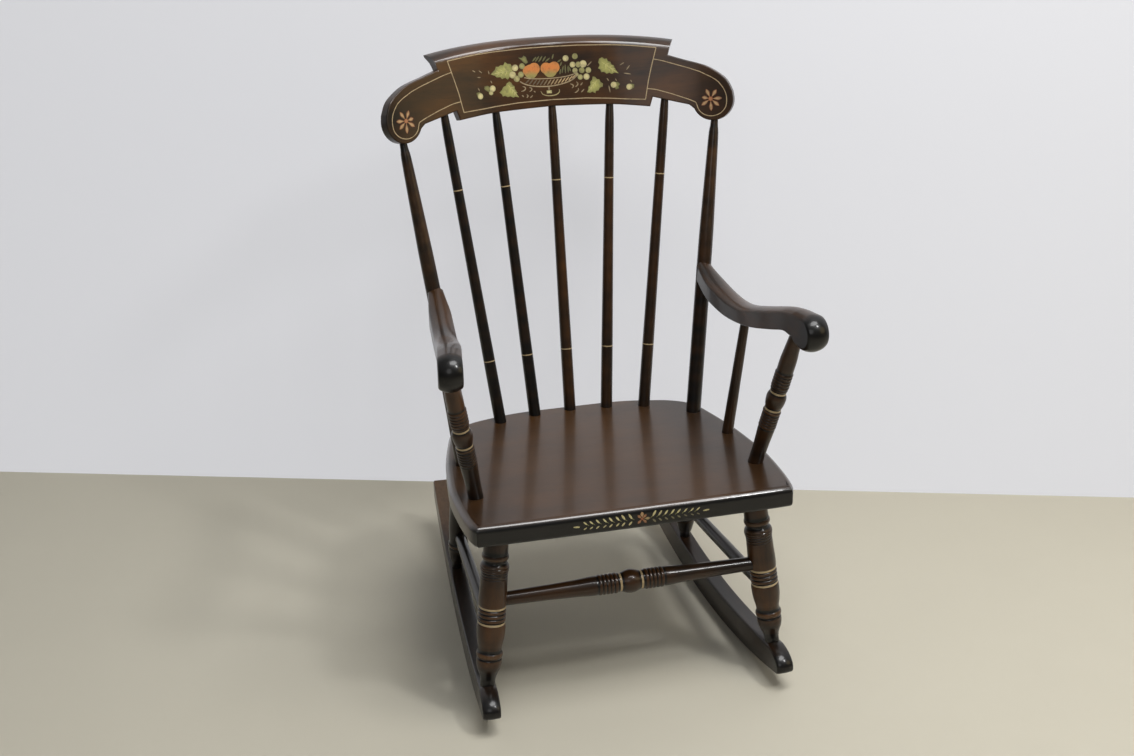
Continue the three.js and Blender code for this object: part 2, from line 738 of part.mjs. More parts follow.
// The centre line between two legs, shortened so that each end sits one tenon deep in its leg
function stretcher(name, fromLeg, fromHeight, fromRadius, toLeg, toHeight, toRadius, radius, stations) {
  const from = onAxis(fromLeg, fromHeight);
  const to = onAxis(toLeg, toHeight);
  const along = to.clone().sub(from).normalize();
  return turned(name, darkWalnut, {
    foot: from.addScaledVector(along, fromRadius),
    head: to.addScaledVector(along, -toRadius),
    radius, stations, sides: postSides, footTenon: rungTenon, headTenon: rungTenon,
  });
}

// Assembly

const frontLegs = [];
const rearLegs = [];
const seatCuts = [];
const crestCuts = [];
for (const { footMortise, headMortise } of spindles) {
  seatCuts.push(footMortise);
  crestCuts.push(headMortise);
}

// Shares of the legs' greatest radii where the side stretchers enter them
const legAtSideRungShare = 0.985;
const rearLegAtSideRungShare = 0.95;

const sideLegCuts = { frontLegs: [[], []], rearLegs: [[], []] };
for (const [index, side] of [-1, 1].entries()) {
  const hand = side < 0 ? 'left' : 'right';
  const rockerMesh = rocker(`rocker_${hand}`, side);
  const frontLeg = leg(`front_leg_${hand}`, side, frontLegSpec);
  const rearLeg = leg(`rear_leg_${hand}`, side, rearLegSpec);
  carve(rockerMesh, [frontLeg.footMortise, rearLeg.footMortise]);
  frontLegs.push(frontLeg);
  rearLegs.push(rearLeg);

  const post = backPost(`back_post_${hand}`, side);
  const armMesh = arm(`arm_${hand}`, side);
  const supportPost = armPost(`arm_post_${hand}`, side);
  const supportSpindle = armSpindle(`arm_spindle_${hand}`, side);
  const dowel = armDowel(`arm_dowel_${hand}`, side);
  const copeRadius = postRadius * postAtArmShare + fitGap;
  const cope = mortise(post.mesh.position, post.axis, copeRadius, post.length, postSides);
  carve(armMesh, [supportPost.headMortise, supportSpindle.headMortise, cope, dowel.bore]);
  carve(post.mesh, [dowel.bore]);
  seatCuts.push(frontLeg.headMortise, rearLeg.headMortise, post.footMortise,
    supportPost.footMortise, supportSpindle.footMortise);
  crestCuts.push(post.headMortise);

  const sideStretcher = stretcher(`side_stretcher_${hand}`, frontLeg, sideRungFrontHeight,
    legRadius * legAtSideRungShare, rearLeg, sideRungRearHeight, rearLegRadius * rearLegAtSideRungShare,
    sideRungRadius, plainStretcherStations);
  sideLegCuts.frontLegs[index].push(sideStretcher.footMortise);
  sideLegCuts.rearLegs[index].push(sideStretcher.headMortise);
}

const frontStretcher = stretcher('front_stretcher', frontLegs[0], frontRungHeight, legRadius,
  frontLegs[1], frontRungHeight, legRadius, frontRungRadius,
  mirroredStations(frontStretcherHalfStations));
const rearStretcher = stretcher('rear_stretcher', rearLegs[0], rearRungHeight, rearLegRadius,
  rearLegs[1], rearRungHeight, rearLegRadius, rearRungRadius, plainStretcherStations);
carve(frontLegs[0].mesh, [frontStretcher.footMortise, ...sideLegCuts.frontLegs[0]]);
carve(frontLegs[1].mesh, [frontStretcher.headMortise, ...sideLegCuts.frontLegs[1]]);
carve(rearLegs[0].mesh, [rearStretcher.footMortise, ...sideLegCuts.rearLegs[0]]);
carve(rearLegs[1].mesh, [rearStretcher.headMortise, ...sideLegCuts.rearLegs[1]]);
carve(seat, seatCuts);
carve(crest, crestCuts);

export default chair;
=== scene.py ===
"""A painted wooden rocking chair: bent crest board, turned spindles and legs, scroll arms, rockers.

Millimetres are used in the tables and outlines, and metres in Blender. X runs to the right seen
from the front, Y to the rear, Z up from the floor.
"""
import math
import random

import bmesh
import bpy
from bpy.props import FloatProperty, FloatVectorProperty, IntProperty, PointerProperty
from mathutils import Matrix, Vector


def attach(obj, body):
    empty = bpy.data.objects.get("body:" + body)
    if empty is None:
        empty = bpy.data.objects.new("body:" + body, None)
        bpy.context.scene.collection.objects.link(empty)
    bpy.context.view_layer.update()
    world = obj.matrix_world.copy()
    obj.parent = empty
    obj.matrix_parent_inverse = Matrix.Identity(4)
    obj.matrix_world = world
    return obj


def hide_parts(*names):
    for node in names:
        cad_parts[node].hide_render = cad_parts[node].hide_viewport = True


bl_info = {
    "name": "Painted Rocking Chair",
    "version": (1, 0, 0),
    "blender": (4, 5, 0),
    "location": "View3D > Sidebar > Chair",
    "description": "Builds a turned and painted wooden rocking chair with its stage",
    "category": "Object",
}

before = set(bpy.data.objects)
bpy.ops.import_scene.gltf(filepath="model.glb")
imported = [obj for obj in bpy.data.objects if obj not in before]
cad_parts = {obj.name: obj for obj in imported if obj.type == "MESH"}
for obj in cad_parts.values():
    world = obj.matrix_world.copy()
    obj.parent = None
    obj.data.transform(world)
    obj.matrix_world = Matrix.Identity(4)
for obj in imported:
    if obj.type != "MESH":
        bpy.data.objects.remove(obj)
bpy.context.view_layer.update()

MM = 0.001
SHARP_ANGLE = math.radians(38)
# How far apart, in metres, the grain of two pieces may start
GRAIN_SHIFT = 3
SIDES = {"left": -1, "right": 1}

# Rockers. Y values are taken from a plane near the chair's balance, which is MIDDLE_SHIFT from
# the middle of the chair's length.
ROCKER_GAUGE = 500
ROCKER_WIDTH = 30
ROCKER_DEPTH = 48
ROCKER_RADIUS = 1205
ROCKER_TOP_RADIUS = 1330
ROCKER_CONTACT = -7
ROCKER_FRONT = 300
ROCKER_REAR = 410
ROCKER_NOSE = 48
ROCKER_NOSE_TIP = 9
ROCKER_NOSE_RISE = 1
ROCKER_NOSE_SHARES = {"run": 0.5, "low": 0.22, "drop": 0.3}
ROCKER_REAR_ROUND = 5
ROCKER_EDGE = 3
ROCKER_CROWN = 4
ROCKER_CROWN_FADE = 65
ROCKER_TOE = math.radians(3.5)
ROCKER_SLICE = 40
MIDDLE_SHIFT = (ROCKER_FRONT - ROCKER_REAR) / 2

# Shares of black on a rocker's nose, along it and at its rear end, where the black of the nose and
# the brown of the rear fade, and how much and where the rear is made paler. The brown, paler rear is
# a painted reflection of the pale wall on the rocker's top.
ROCKER_BLACKS = (0.95, 0.7, 0.1)
ROCKER_NOSE_FADE = (-292, -262)
ROCKER_BROWN_FADE = (120, 300)
ROCKER_REAR_REFLECTION = 0.9
ROCKER_REFLECTION_FADE = (150, 330)

# Seat plank
SEAT_HALF_WIDTH = 273
SEAT_DEPTH = 457
SEAT_BOW = 4
SEAT_THICKNESS = 35.5
SEAT_EDGE = 7
SEAT_TOP_EDGE = 11
SEAT_FRONT_HEIGHT = 371
SEAT_FRONT = -267
SEAT_SLOPE = math.radians(3.1)
SEAT_SIDE_STEPS = 90
SEAT_FRONT_STEPS = 24
SEAT_SLICE = 30
SEAT_OUTLINE_SHARES = [(0, 1), (0.28, 0.998), (0.43, 0.988), (0.55, 0.97), (0.66, 0.95), (0.745, 0.922),
                       (0.81, 0.887), (0.85, 0.843), (0.882, 0.773), (0.917, 0.685), (0.951, 0.583),
                       (0.979, 0.457), (0.998, 0.348), (1, 0.26), (0.991, 0.129), (0.974, 0.041),
                       (0.947, 0)]

# The seat's edge is black at the front and brown from there to the rear, where it is rubbed. Its
# top is darker towards both sides. Depths are taken from the front edge, spreads from the middle.
SEAT_SIDE_BLACK = 0.15
SEAT_BLACK_DEPTHS = (4, 30)
SEAT_RUBBED = 0.45
SEAT_RUBBED_DEPTHS = (20, 60)
SEAT_TOP_SHADE = 0.45
SEAT_SHADE_SPREADS = (110, 265)
SEAT_SHADE_SHIFT = 20
SEAT_STAIN_BROWN = 0.45

# How steeply the lip of a board rises over its rounded edge, and how far out it starts
LIP_RISE = 2.4
LIP_START = 0.25

# Crest board, in arc length along its front face and height up its lean
CREST_RADIUS = 600
CREST_HALF = 315.5
CREST_RISE = 108.4
CREST_THICKNESS = 18
CREST_EDGE = 2
CREST_BASE = (262.8, 882.5)
CREST_LEAN = math.radians(14)
CREST_SLICE = 9
CREST_SHADE = 0.42
CREST_SHADE_ARCS = (185, 290)
LOBE_RADIUS = 35.7
LOBE_SHARE = (0.886, -0.06)
LOBE_DEGREES = (-158, 6, 6)
ROLL_DEPTH = 31
ROLL_RISE = 13.5
ROLL_STEPS = 60
PANEL_TOP_SHARE = (0.665, 0.816)
PANEL_STEP_SHARE = (0.652, 0.695)
EAR_STEP_SHARE = (0.558, 0.049)
PANEL_FOOT_SHARE = (0.54, -0.1)
LOWER_EDGE_SHARES = [(0, 0.018), (0.2, -0.002), (0.355, -0.028)]
EAR_LOWER_SHARES = [(0.65, -0.03), (0.755, -0.115)]
EAR_UPPER_SHARES = [(0.745, 0.597), (0.848, 0.494), (0.916, 0.375), (0.967, 0.235), (0.995, 0.055)]
TOP_EDGE_SHARES = [(0.455, 0.915), (0.17, 1), (0, 1)]
ROLL_OUTER_SHARES = [(0, -1), (0, -0.42), (0.008, -0.3), (0.03, -0.18), (0.055, -0.05), (0.08, 0.08),
                     (0.13, 0.25), (0.2, 0.38), (0.4, 0.68), (0.68, 0.9), (0.94, 1), (1, 0.94), (1, 0.68)]
ROLL_INNER_SHARES = [(0.84, 0.36), (0.68, -0.06), (0.6, -0.5)]

# Arms. The roll's centre is at the arm's front end: reaches are taken from there.
ARM_WIDTH = 37.6
ARM_ROLL_RADIUS = 30.5
ARM_EDGE = 2.5
ARM_CROWN = 6.5
ARM_FRONT_SPREAD = 285
ARM_REAR_SPREAD = 240
ARM_BOW = 5.5
ARM_ROLL_SETBACK = 249
ARM_ROLL_RISE = 28.5
ARM_REAR = 144
ARM_LOW_HEIGHT = 598
ARM_REAR_WIDTH = 25
ARM_TAPER = 75
ARM_SLICE = 12
ARM_ROLL_DEGREES = (92, -156, -5)
ARM_DOME_DEGREES = (-155, -100)
ARM_BLACKS = (0.15, 1)
ARM_BLACK_REACHES = (-12, 14)
ARM_LENGTH = ARM_ROLL_SETBACK + ARM_REAR
ARM_TOE = math.atan((ARM_FRONT_SPREAD - ARM_REAR_SPREAD) / ARM_LENGTH)
ARM_UPPER_SHARES = [(0, 0.66), (0.094, 0.33), (0.196, 0.1), (0.323, -0.03), (0.425, 0.03), (0.527, 0.3),
                    (0.667, 0.88), (0.756, 1.28), (0.847, 1.66), (0.921, 1.85)]
ARM_LOWER_SHARES = [(0.906, 0.47), (0.855, 0.47), (0.753, 0.04), (0.595, -0.59), (0.458, -0.95),
                    (0.313, -1.11), (0.145, -0.95), (0.015, -0.56), (0, -0.5)]

# Turned pieces, as (share of length, share of radius)
SPINDLE_STATIONS = [(0, 1), (0.1, 0.988), (0.21, 0.97), (0.33, 0.93), (0.51, 0.875), (0.69, 0.825),
                    (0.87, 0.78), (0.94, 0.75), (0.975, 0.69), (1, 0.62)]
POST_STATIONS = [(0, 1), (0.2, 0.992), (0.33, 0.985), (0.45, 0.975), (0.57, 0.962), (0.63, 0.94),
                 (0.69, 0.895), (0.75, 0.845), (0.81, 0.795), (0.87, 0.74), (0.93, 0.68), (0.965, 0.62),
                 (0.985, 0.51), (1, 0.48)]
ARM_SPINDLE_STATIONS = [(0, 1), (0.06, 0.985), (0.15, 0.957), (0.3, 0.94), (0.45, 0.89), (0.6, 0.87),
                        (0.75, 0.83), (0.9, 0.785), (1, 0.76)]
REAR_LEG_STATIONS = [(0, 0.5), (0.03, 0.53), (0.07, 0.7), (0.12, 0.86), (0.165, 0.93), (0.185, 0.86),
                     (0.195, 0.97), (0.21, 0.97), (0.22, 0.88), (0.35, 0.98), (0.5, 1), (0.7, 0.95),
                     (0.85, 0.9), (0.96, 0.88)]
PLAIN_STRETCHER_STATIONS = [(0, 0.86), (0.25, 0.97), (0.5, 1), (0.75, 0.97), (1, 0.86)]
BEAD_SHARES = [(0, 0), (0.12, 0.55), (0.3, 0.9), (0.5, 1), (0.7, 0.9), (0.88, 0.55)]


def lerp(a, b, t):
    return a + (b - a) * t


def clamp(value, low=0.0, high=1.0):
    return max(low, min(high, value))


def smoothstep(value, low, high):
    t = clamp((value - low) / (high - low))
    return t * t * (3 - 2 * t)


def curve_through(points, count):
    """Points of an even Catmull-Rom curve through the given ones."""
    result = []
    last = len(points) - 1
    for step in range(count + 1):
        at = last * step / count
        index = min(int(at), last - 1)
        t = at - index
        p0 = points[max(index - 1, 0)]
        p1, p2 = points[index], points[index + 1]
        p3 = points[min(index + 2, last)]
        result.append(tuple(
            0.5 * ((2 * b) + (c - a) * t + (2 * a - 5 * b + 4 * c - d) * t * t
                   + (3 * b - a - 3 * c + d) * t ** 3)
            for a, b, c, d in zip(p0, p1, p2, p3)))
    return result


def steady_curve(stations):
    """A function through rising stations that never overshoots them."""
    xs = [x for x, _ in stations]
    ys = [y for _, y in stations]
    spans = [xs[i + 1] - xs[i] for i in range(len(xs) - 1)]
    slopes = [(ys[i + 1] - ys[i]) / spans[i] for i in range(len(spans))]
    tangents = [slopes[0]]
    for i in range(1, len(slopes)):
        before, after = slopes[i - 1], slopes[i]
        if before * after <= 0:
            tangents.append(0.0)
        else:
            w1, w2 = 2 * spans[i] + spans[i - 1], spans[i] + 2 * spans[i - 1]
            tangents.append((w1 + w2) / (w1 / before + w2 / after))
    tangents.append(slopes[-1])

    def value(x):
        i = 0
        while i < len(spans) - 1 and x > xs[i + 1]:
            i += 1
        h = spans[i]
        t = clamp((x - xs[i]) / h)
        return (ys[i] * (2 * t ** 3 - 3 * t * t + 1) + ys[i + 1] * (3 * t * t - 2 * t ** 3)
                + h * tangents[i] * (t ** 3 - 2 * t * t + t) + h * tangents[i + 1] * (t ** 3 - t * t))
    return value


def between(outline, along):
    """The height of an outline of rising points at a place along it."""
    for (x0, y0), (x1, y1) in zip(outline, outline[1:]):
        if along <= x1:
            break
    return lerp(y0, y1, (along - x0) / (x1 - x0))


def beads(start, end, count, high, low):
    """Stations of rounded cross beads."""
    pitch = (end - start) / count
    stations = [(start + (i + share) * pitch, lerp(low, high, rise))
                for i in range(count) for share, rise in BEAD_SHARES]
    return [*stations, (end, low)]


ARM_POST_STATIONS = [
    (0, 0.755), (0.06, 0.75), (0.12, 0.76), (0.19, 0.8), (0.27, 0.86),
    *beads(0.28, 0.385, 5, 0.905, 0.83),
    (0.393, 0.91), (0.405, 0.925), (0.413, 0.83), (0.418, 0.835), (0.429, 0.835), (0.434, 0.83),
    (0.449, 0.9), (0.47, 0.96), (0.49, 0.995), (0.508, 1), (0.526, 0.95), (0.54, 0.86), (0.546, 0.83),
    (0.559, 0.83), (0.563, 0.82), (0.575, 0.885),
    *beads(0.585, 0.7, 5, 0.92, 0.84),
    (0.77, 0.84), (0.87, 0.745), (1, 0.6),
]
ARM_POST_RINGS = (0.4235, 0.5525)
FRONT_LEG_STATIONS = [
    (0, 0.52), (0.028, 0.52), (0.05, 0.56), (0.079, 0.67), (0.112, 0.81), (0.146, 0.88), (0.168, 0.88),
    (0.179, 0.83), (0.188, 0.9), (0.2, 0.925), (0.212, 0.91), (0.22, 0.84), (0.229, 0.81), (0.25, 0.83),
    (0.28, 0.895), (0.315, 0.955), (0.35, 0.99), (0.38, 1), (0.402, 0.975), (0.405, 0.945), (0.417, 0.945),
    *beads(0.421, 0.502, 3, 0.975, 0.885),
    (0.506, 0.945), (0.518, 0.945), (0.521, 0.96), (0.57, 0.975), (0.62, 0.96), (0.665, 0.94),
    (0.712, 0.93), (0.735, 0.95), (0.749, 0.985), (0.762, 1), (0.777, 0.975), (0.79, 0.89),
    (0.801, 0.8), (0.808, 0.8), (0.819, 0.89), (0.831, 0.93), (0.844, 0.91), (0.857, 0.86),
    (0.905, 0.85), (0.964, 0.83),
]
FRONT_LEG_RINGS = (0.411, 0.512)
FRONT_LEG_GROOVES = (0.7, 0.719, 0.737, 0.754, 0.771, 0.848)
STRETCHER_HALF_STATIONS = [
    (0, 1), (0.03, 0.96), (0.055, 0.87), (0.072, 0.8), (0.078, 0.785), (0.094, 0.785), (0.1, 0.8),
    *beads(0.11, 0.265, 5, 0.87, 0.8), (0.285, 0.82), (0.44, 0.73), (0.66, 0.655), (1, 0.585),
]
STRETCHER_STATIONS = [(0.5 - s / 2, r) for s, r in STRETCHER_HALF_STATIONS[:0:-1]]
STRETCHER_STATIONS += [(0.5 + s / 2, r) for s, r in STRETCHER_HALF_STATIONS]
STRETCHER_RINGS = (0.457, 0.543)
SPINDLE_RINGS = (0.208, 0.766)

# Grooves and gold bands, and how the finish follows a turned form: where it rises over its
# neighbourhood it is rubbed and paler, partly wear and partly a painted highlight, and where it sinks
# it is darker
GROOVE_WIDTH = 1.3
GROOVE_DEPTH = 0.8
GROOVE_HOLLOW = 0.35
BAND_FADE = 0.15
RISE_REACHES = (-5, -2.5, 2.5, 5)
WEAR_AND_HIGHLIGHT_RISE = 1.6
RISE_PALE = 0.5
HOLLOW_DARK = 1.8

# How dark the stain lies along a turned piece, as (share of length, share of black). On the two left
# back spindles the dark table is painted shade.
PLAIN_SHADE = [(0, 0.75), (0.06, 0.42), (0.6, 0.35), (0.9, 0.4), (1, 0.6)]
FRONT_LEG_SHADE = [(0, 0.9), (0.1, 0.7), (0.2, 0.3), (0.3, 0.05), (0.4, 0.1), (0.52, 0.05), (0.66, 0),
                   (0.74, 0.25), (0.8, 0.45), (0.84, 0.4), (0.9, 0.2), (1, 0.4)]
DARK_SHADE = [(0, 0.9), (0.5, 0.75), (1, 0.9)]
STRETCHER_SHADE = [(0, 0.6), (0.3, 0.3), (0.7, 0.3), (1, 0.6)]
POST_SHADE = [(0, 0.85), (0.3, 0.65), (0.5, 0.5), (0.8, 0.5), (1, 0.75)]
POST_RUBBED = [(0, 0), (0.4, 0.15), (0.6, 0.5), (0.9, 0.5), (1, 0)]
ARM_POST_SHADE = [(0, 0.7), (0.2, 0.45), (0.4, 0.2), (0.5, 0.45), (0.6, 0.15), (0.85, 0), (1, 0.35)]
UNRUBBED = [(0, 0), (1, 0)]

# Details of the turned pieces. The tenon goes into the neighbour, step is the distance of the rings
# of points, and mottle is how much the black varies.
PLAIN_TURNING = {"tenon": 12, "step": 1.3, "sides": 40, "band": 2.4, "rings": (), "grooves": (),
                 "shade": PLAIN_SHADE, "rubbed": UNRUBBED, "mottle": 0}
SPINDLE_TURNING = {"stations": SPINDLE_STATIONS, "rings": SPINDLE_RINGS, "step": 3, "mottle": 0.06}
POST_TURNING = {"stations": POST_STATIONS, "step": 3, "shade": POST_SHADE, "rubbed": POST_RUBBED,
                "mottle": 0.1}
ARM_POST_TURNING = {"stations": ARM_POST_STATIONS, "rings": ARM_POST_RINGS, "shade": ARM_POST_SHADE,
                    "sides": 48, "step": 0.9, "mottle": 0.08}
ARM_SPINDLE_TURNING = {"stations": ARM_SPINDLE_STATIONS, "step": 3}
FRONT_LEG_TURNING = {"stations": FRONT_LEG_STATIONS, "rings": FRONT_LEG_RINGS,
                     "grooves": FRONT_LEG_GROOVES, "shade": FRONT_LEG_SHADE, "mottle": 0.11,
                     "sides": 56, "step": 0.9, "tenon": 8}
REAR_LEG_TURNING = {"stations": REAR_LEG_STATIONS, "shade": DARK_SHADE, "sides": 56, "step": 0.9,
                    "tenon": 8}
STRETCHER_TURNING = {"stations": PLAIN_STRETCHER_STATIONS, "shade": DARK_SHADE, "tenon": 6, "step": 1.0}
FRONT_STRETCHER_TURNING = {"stations": STRETCHER_STATIONS, "rings": STRETCHER_RINGS,
                           "shade": STRETCHER_SHADE, "sides": 48}

# Places of the turned pieces. A spindle has its foot across and back, and the arc of its head; the
# left two are darker, a painted shade where less light reaches them. A post has its foot across and
# back. An arm's support has both for its foot and for its head. A leg has its foot back and in from
# the rocker, and its head back and across.
SPINDLE_PLACES = [(-133.7, 147.5, -196), (-67, 162.5, -100.6), (0, 169.5, 0), (67, 162.5, 100.6),
                  (133.7, 147.5, 196)]
SHADED_SPINDLES = 2
POST_PLACE = (211, 94.5)
ARM_POST_PLACE = (237, -153.5, 281, -202)
ARM_SPINDLE_PLACE = (235.5, -19.5, 263, -17)
FRONT_LEG_PLACE = (-241, 1, -208, 215)
REAR_LEG_PLACE = (159, 0, 122, 208)

# Stretchers: height on each of the two legs, and how far in from its centre line
SIDE_STRETCHER_HEIGHTS = (165, 132)
SIDE_STRETCHER_INSETS = (18, 15)
FRONT_STRETCHER_HEIGHTS = (212.5, 212.5)
FRONT_STRETCHER_INSETS = (20, 20)
REAR_STRETCHER_HEIGHTS = (176, 176)
REAR_STRETCHER_INSETS = (16, 16)


# Places on the chair

def place(x, y, z):
    """A point in millimetres from the balance plane, as a vector in metres from the middle."""
    return Vector((x, y + MIDDLE_SHIFT, z)) * MM


def rocker_spread(y):
    """How far out the middle of a rocker's width is."""
    return ROCKER_GAUGE / 2 - (y + ROCKER_FRONT) * math.tan(ROCKER_TOE)


def rocker_bottom(y):
    return ROCKER_RADIUS - math.sqrt(ROCKER_RADIUS ** 2 - (y - ROCKER_CONTACT) ** 2)


def rocker_top(y):
    sag = math.sqrt(ROCKER_TOP_RADIUS ** 2 - (y - ROCKER_CONTACT) ** 2)
    return ROCKER_DEPTH + ROCKER_TOP_RADIUS - sag


def seat_top(y):
    return SEAT_FRONT_HEIGHT - (y - SEAT_FRONT) * math.tan(SEAT_SLOPE)


def seat_bottom(y):
    return seat_top(y) - SEAT_THICKNESS / math.cos(SEAT_SLOPE)


def seat_point(x, along, depth):
    """A point of the plank: across, back from its front edge and down from its top."""
    down = Vector((0, -math.sin(SEAT_SLOPE), -math.cos(SEAT_SLOPE)))
    back = Vector((0, math.cos(SEAT_SLOPE), -math.sin(SEAT_SLOPE)))
    return place(x, SEAT_FRONT, SEAT_FRONT_HEIGHT) + (back * along + down * depth) * MM


def bend_point(arc, height, depth):
    """A point of the crest board: along its arc, up its lean and back from its front face."""
    angle = arc / CREST_RADIUS
    reach = CREST_RADIUS + depth
    up = Vector((0, math.sin(CREST_LEAN), math.cos(CREST_LEAN)))
    back = Vector((0, math.cos(CREST_LEAN), -math.sin(CREST_LEAN)))
    base = place(reach * math.sin(angle), CREST_BASE[0], CREST_BASE[1])
    return base + (up * height + back * (reach * math.cos(angle) - CREST_RADIUS)) * MM


def crest_lower(arc):
    """Height of the crest board's lower edge."""
    along = abs(arc) / CREST_HALF
    if along < PANEL_FOOT_SHARE[0]:
        return CREST_RISE * between([*LOWER_EDGE_SHARES, PANEL_FOOT_SHARE], along)
    return CREST_RISE * between([EAR_STEP_SHARE, *EAR_LOWER_SHARES], along)


def arm_underside(setback):
    """Height of an arm's lower side."""
    along = (ARM_REAR - setback) / ARM_LENGTH
    return ARM_LOW_HEIGHT + between(ARM_LOWER_SHARES[::-1], along) * ARM_ROLL_RADIUS


# Meshes

def add_object(name, data):
    """A new object in the scene."""
    item = bpy.data.objects.new(name, data)
    bpy.context.scene.collection.objects.link(item)
    return item


def set_attribute(mesh, name, kind, values):
    """Stores a value for each point, for the finishes to read."""
    attribute = mesh.attributes.new(name, kind, "POINT")
    key = {"FLOAT": "value", "FLOAT_VECTOR": "vector", "FLOAT_COLOR": "color"}[kind]
    flat = values if kind == "FLOAT" else [part for value in values for part in value]
    attribute.data.foreach_set(key, flat)


def finish_piece(name, points, faces, material, grain, **shares):
    """Adds the object of a wooden piece. The shares are gilt, wear, dark and gleam at each point."""
    mesh = bpy.data.meshes.new(name)
    mesh.from_pydata([tuple(p) for p in points], [], faces)
    shift = Vector((random.random(), random.random(), random.random())) * GRAIN_SHIFT
    set_attribute(mesh, "grain", "FLOAT_VECTOR", [Vector(g) * MM + shift for g in grain])
    for key in ("gilt", "wear", "dark", "gleam"):
        set_attribute(mesh, key, "FLOAT", shares.get(key) or [0.0] * len(points))
    mesh.shade_smooth()
    mesh.set_sharp_from_angle(angle=SHARP_ANGLE)
    mesh.materials.append(material)
    piece = add_object(name, mesh)
    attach(piece, "root")
    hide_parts(name)
    "seat_wood" if name == "seat" else "frame_wood"
    return piece


def ring_heights(spec, length, bands, grooves):
    """Heights of a turned piece's rings of points, with the edges of its bands and grooves."""
    tenon, step, half = spec["tenon"], spec["step"], spec["band"] / 2
    heights = {round(-tenon + i * step, 4) for i in range(int((length + 2 * tenon) / step) + 1)}
    band_edges = (-half - BAND_FADE, -half, half, half + BAND_FADE)
    groove_edges = (-GROOVE_WIDTH, -GROOVE_WIDTH / 2, 0, GROOVE_WIDTH / 2, GROOVE_WIDTH)
    for places, edges in ((bands, band_edges), (grooves, groove_edges)):
        heights.update(round(at + edge, 4) for at in places for edge in edges)
    return sorted(heights)


def turned(name, foot, head, **details):
    """Adds a turned piece from its foot to its head, straight into its neighbours at both ends."""
    spec = {**PLAIN_TURNING, **details}
    axis = (head - foot).normalized()
    length = (head - foot).length / MM
    bands, grooves = ([share * length for share in spec[key]] for key in ("rings", "grooves"))
    curve = steady_curve([(s * length, r * spec["radius"]) for s, r in spec["stations"]])
    top = spec["stations"][-1][0] * length
    reference = Vector([float(k == min(range(3), key=lambda j: abs(axis[j]))) for k in range(3)])
    side = reference.cross(axis).normalized()
    other = axis.cross(side)
    sides = spec["sides"]
    turns = [(math.cos(math.tau * k / sides), math.sin(math.tau * k / sides)) for k in range(sides)]
    drift = random.uniform(0, math.tau)
    heights = ring_heights(spec, length, bands, grooves)
    points, grain, gilt, wear, dark = [], [], [], [], []
    for y in heights:
        radius = curve(clamp(y, 0, top))
        near = [curve(clamp(y + reach, 0, top)) for reach in RISE_REACHES]
        cut = max((clamp(1 - abs(y - groove) / GROOVE_WIDTH) for groove in grooves), default=0)
        rise = radius - sum(near) / len(near) - GROOVE_HOLLOW * cut
        radius -= GROOVE_DEPTH * cut
        waves = math.sin(y / 9 + drift) + math.sin(y / 4 + 2 * drift)
        black = between(spec["shade"], clamp(y / length)) + spec["mottle"] * waves
        # Rises are made paler, partly as wear and partly as a painted highlight.
        black -= rise * (RISE_PALE if rise > 0 else HOLLOW_DARK)
        rubbed = rise / WEAR_AND_HIGHLIGHT_RISE + between(spec["rubbed"], clamp(y / length))
        gilt += [float(any(abs(y - band) <= spec["band"] / 2 + 0.01 for band in bands))] * sides
        wear += [clamp(rubbed)] * sides
        dark += [clamp(black)] * sides
        for cosine, sine in turns:
            points.append(foot + (axis * y + (side * cosine + other * sine) * radius) * MM)
            grain.append((radius * cosine, radius * sine, y))
    faces = []
    for i in range(len(heights) - 1):
        for k in range(sides):
            a, b = i * sides + k, i * sides + (k + 1) % sides
            faces.append((a, b, b + sides, a + sides))
    last = (len(heights) - 1) * sides
    faces += [tuple(range(sides - 1, -1, -1)), tuple(range(last, last + sides))]
    finish_piece(name, points, faces, frame_wood(), grain, gilt=gilt, wear=wear, dark=dark)


def drawn_in(rim, distance_at):
    """The closed rim of (x, y, share) moved inwards by a distance for each of its shares."""
    moved = []
    for i, (x, y, share) in enumerate(rim):
        before = Vector((x - rim[i - 1][0], y - rim[i - 1][1])).normalized()
        following = rim[(i + 1) % len(rim)]
        after = Vector((following[0] - x, following[1] - y)).normalized()
        side = Vector((-before.y, before.x))
        inward = (side + Vector((-after.y, after.x))).normalized()
        reach = distance_at(share) / max(inward.dot(side), 0.5)
        moved.append((x + inward.x * reach, y + inward.y * reach))
    return moved


def clean_outline(points, least=0.05):
    """Drops repeated points and makes the outline run anticlockwise."""
    kept = []
    for point in points:
        if not kept or math.dist(kept[-1][:2], point[:2]) > least:
            kept.append(point)
    if math.dist(kept[0][:2], kept[-1][:2]) <= least:
        kept.pop()
    area = sum(a[0] * b[1] - b[0] * a[1] for a, b in zip(kept, kept[1:] + kept[:1]))
    return kept if area > 0 else kept[::-1]


def crown_drop(width, crown, z):
    """How far an arc of the given rise has dropped at a height across the width."""
    if not crown:
        return 0
    radius = (width ** 2 / 4 + crown ** 2) / (2 * crown)
    return radius - math.sqrt(radius ** 2 - (z - width / 2) ** 2)


def close_rings(board, rings):
    """Faces over both ends of a row of rings of points, and between them."""
    board.faces.new(rings[0][::-1])
    board.faces.new(rings[-1])
    for low, high in zip(rings, rings[1:]):
        for i in range(len(low)):
            j = (i + 1) % len(low)
            board.faces.new((low[i], low[j], high[j], high[i]))


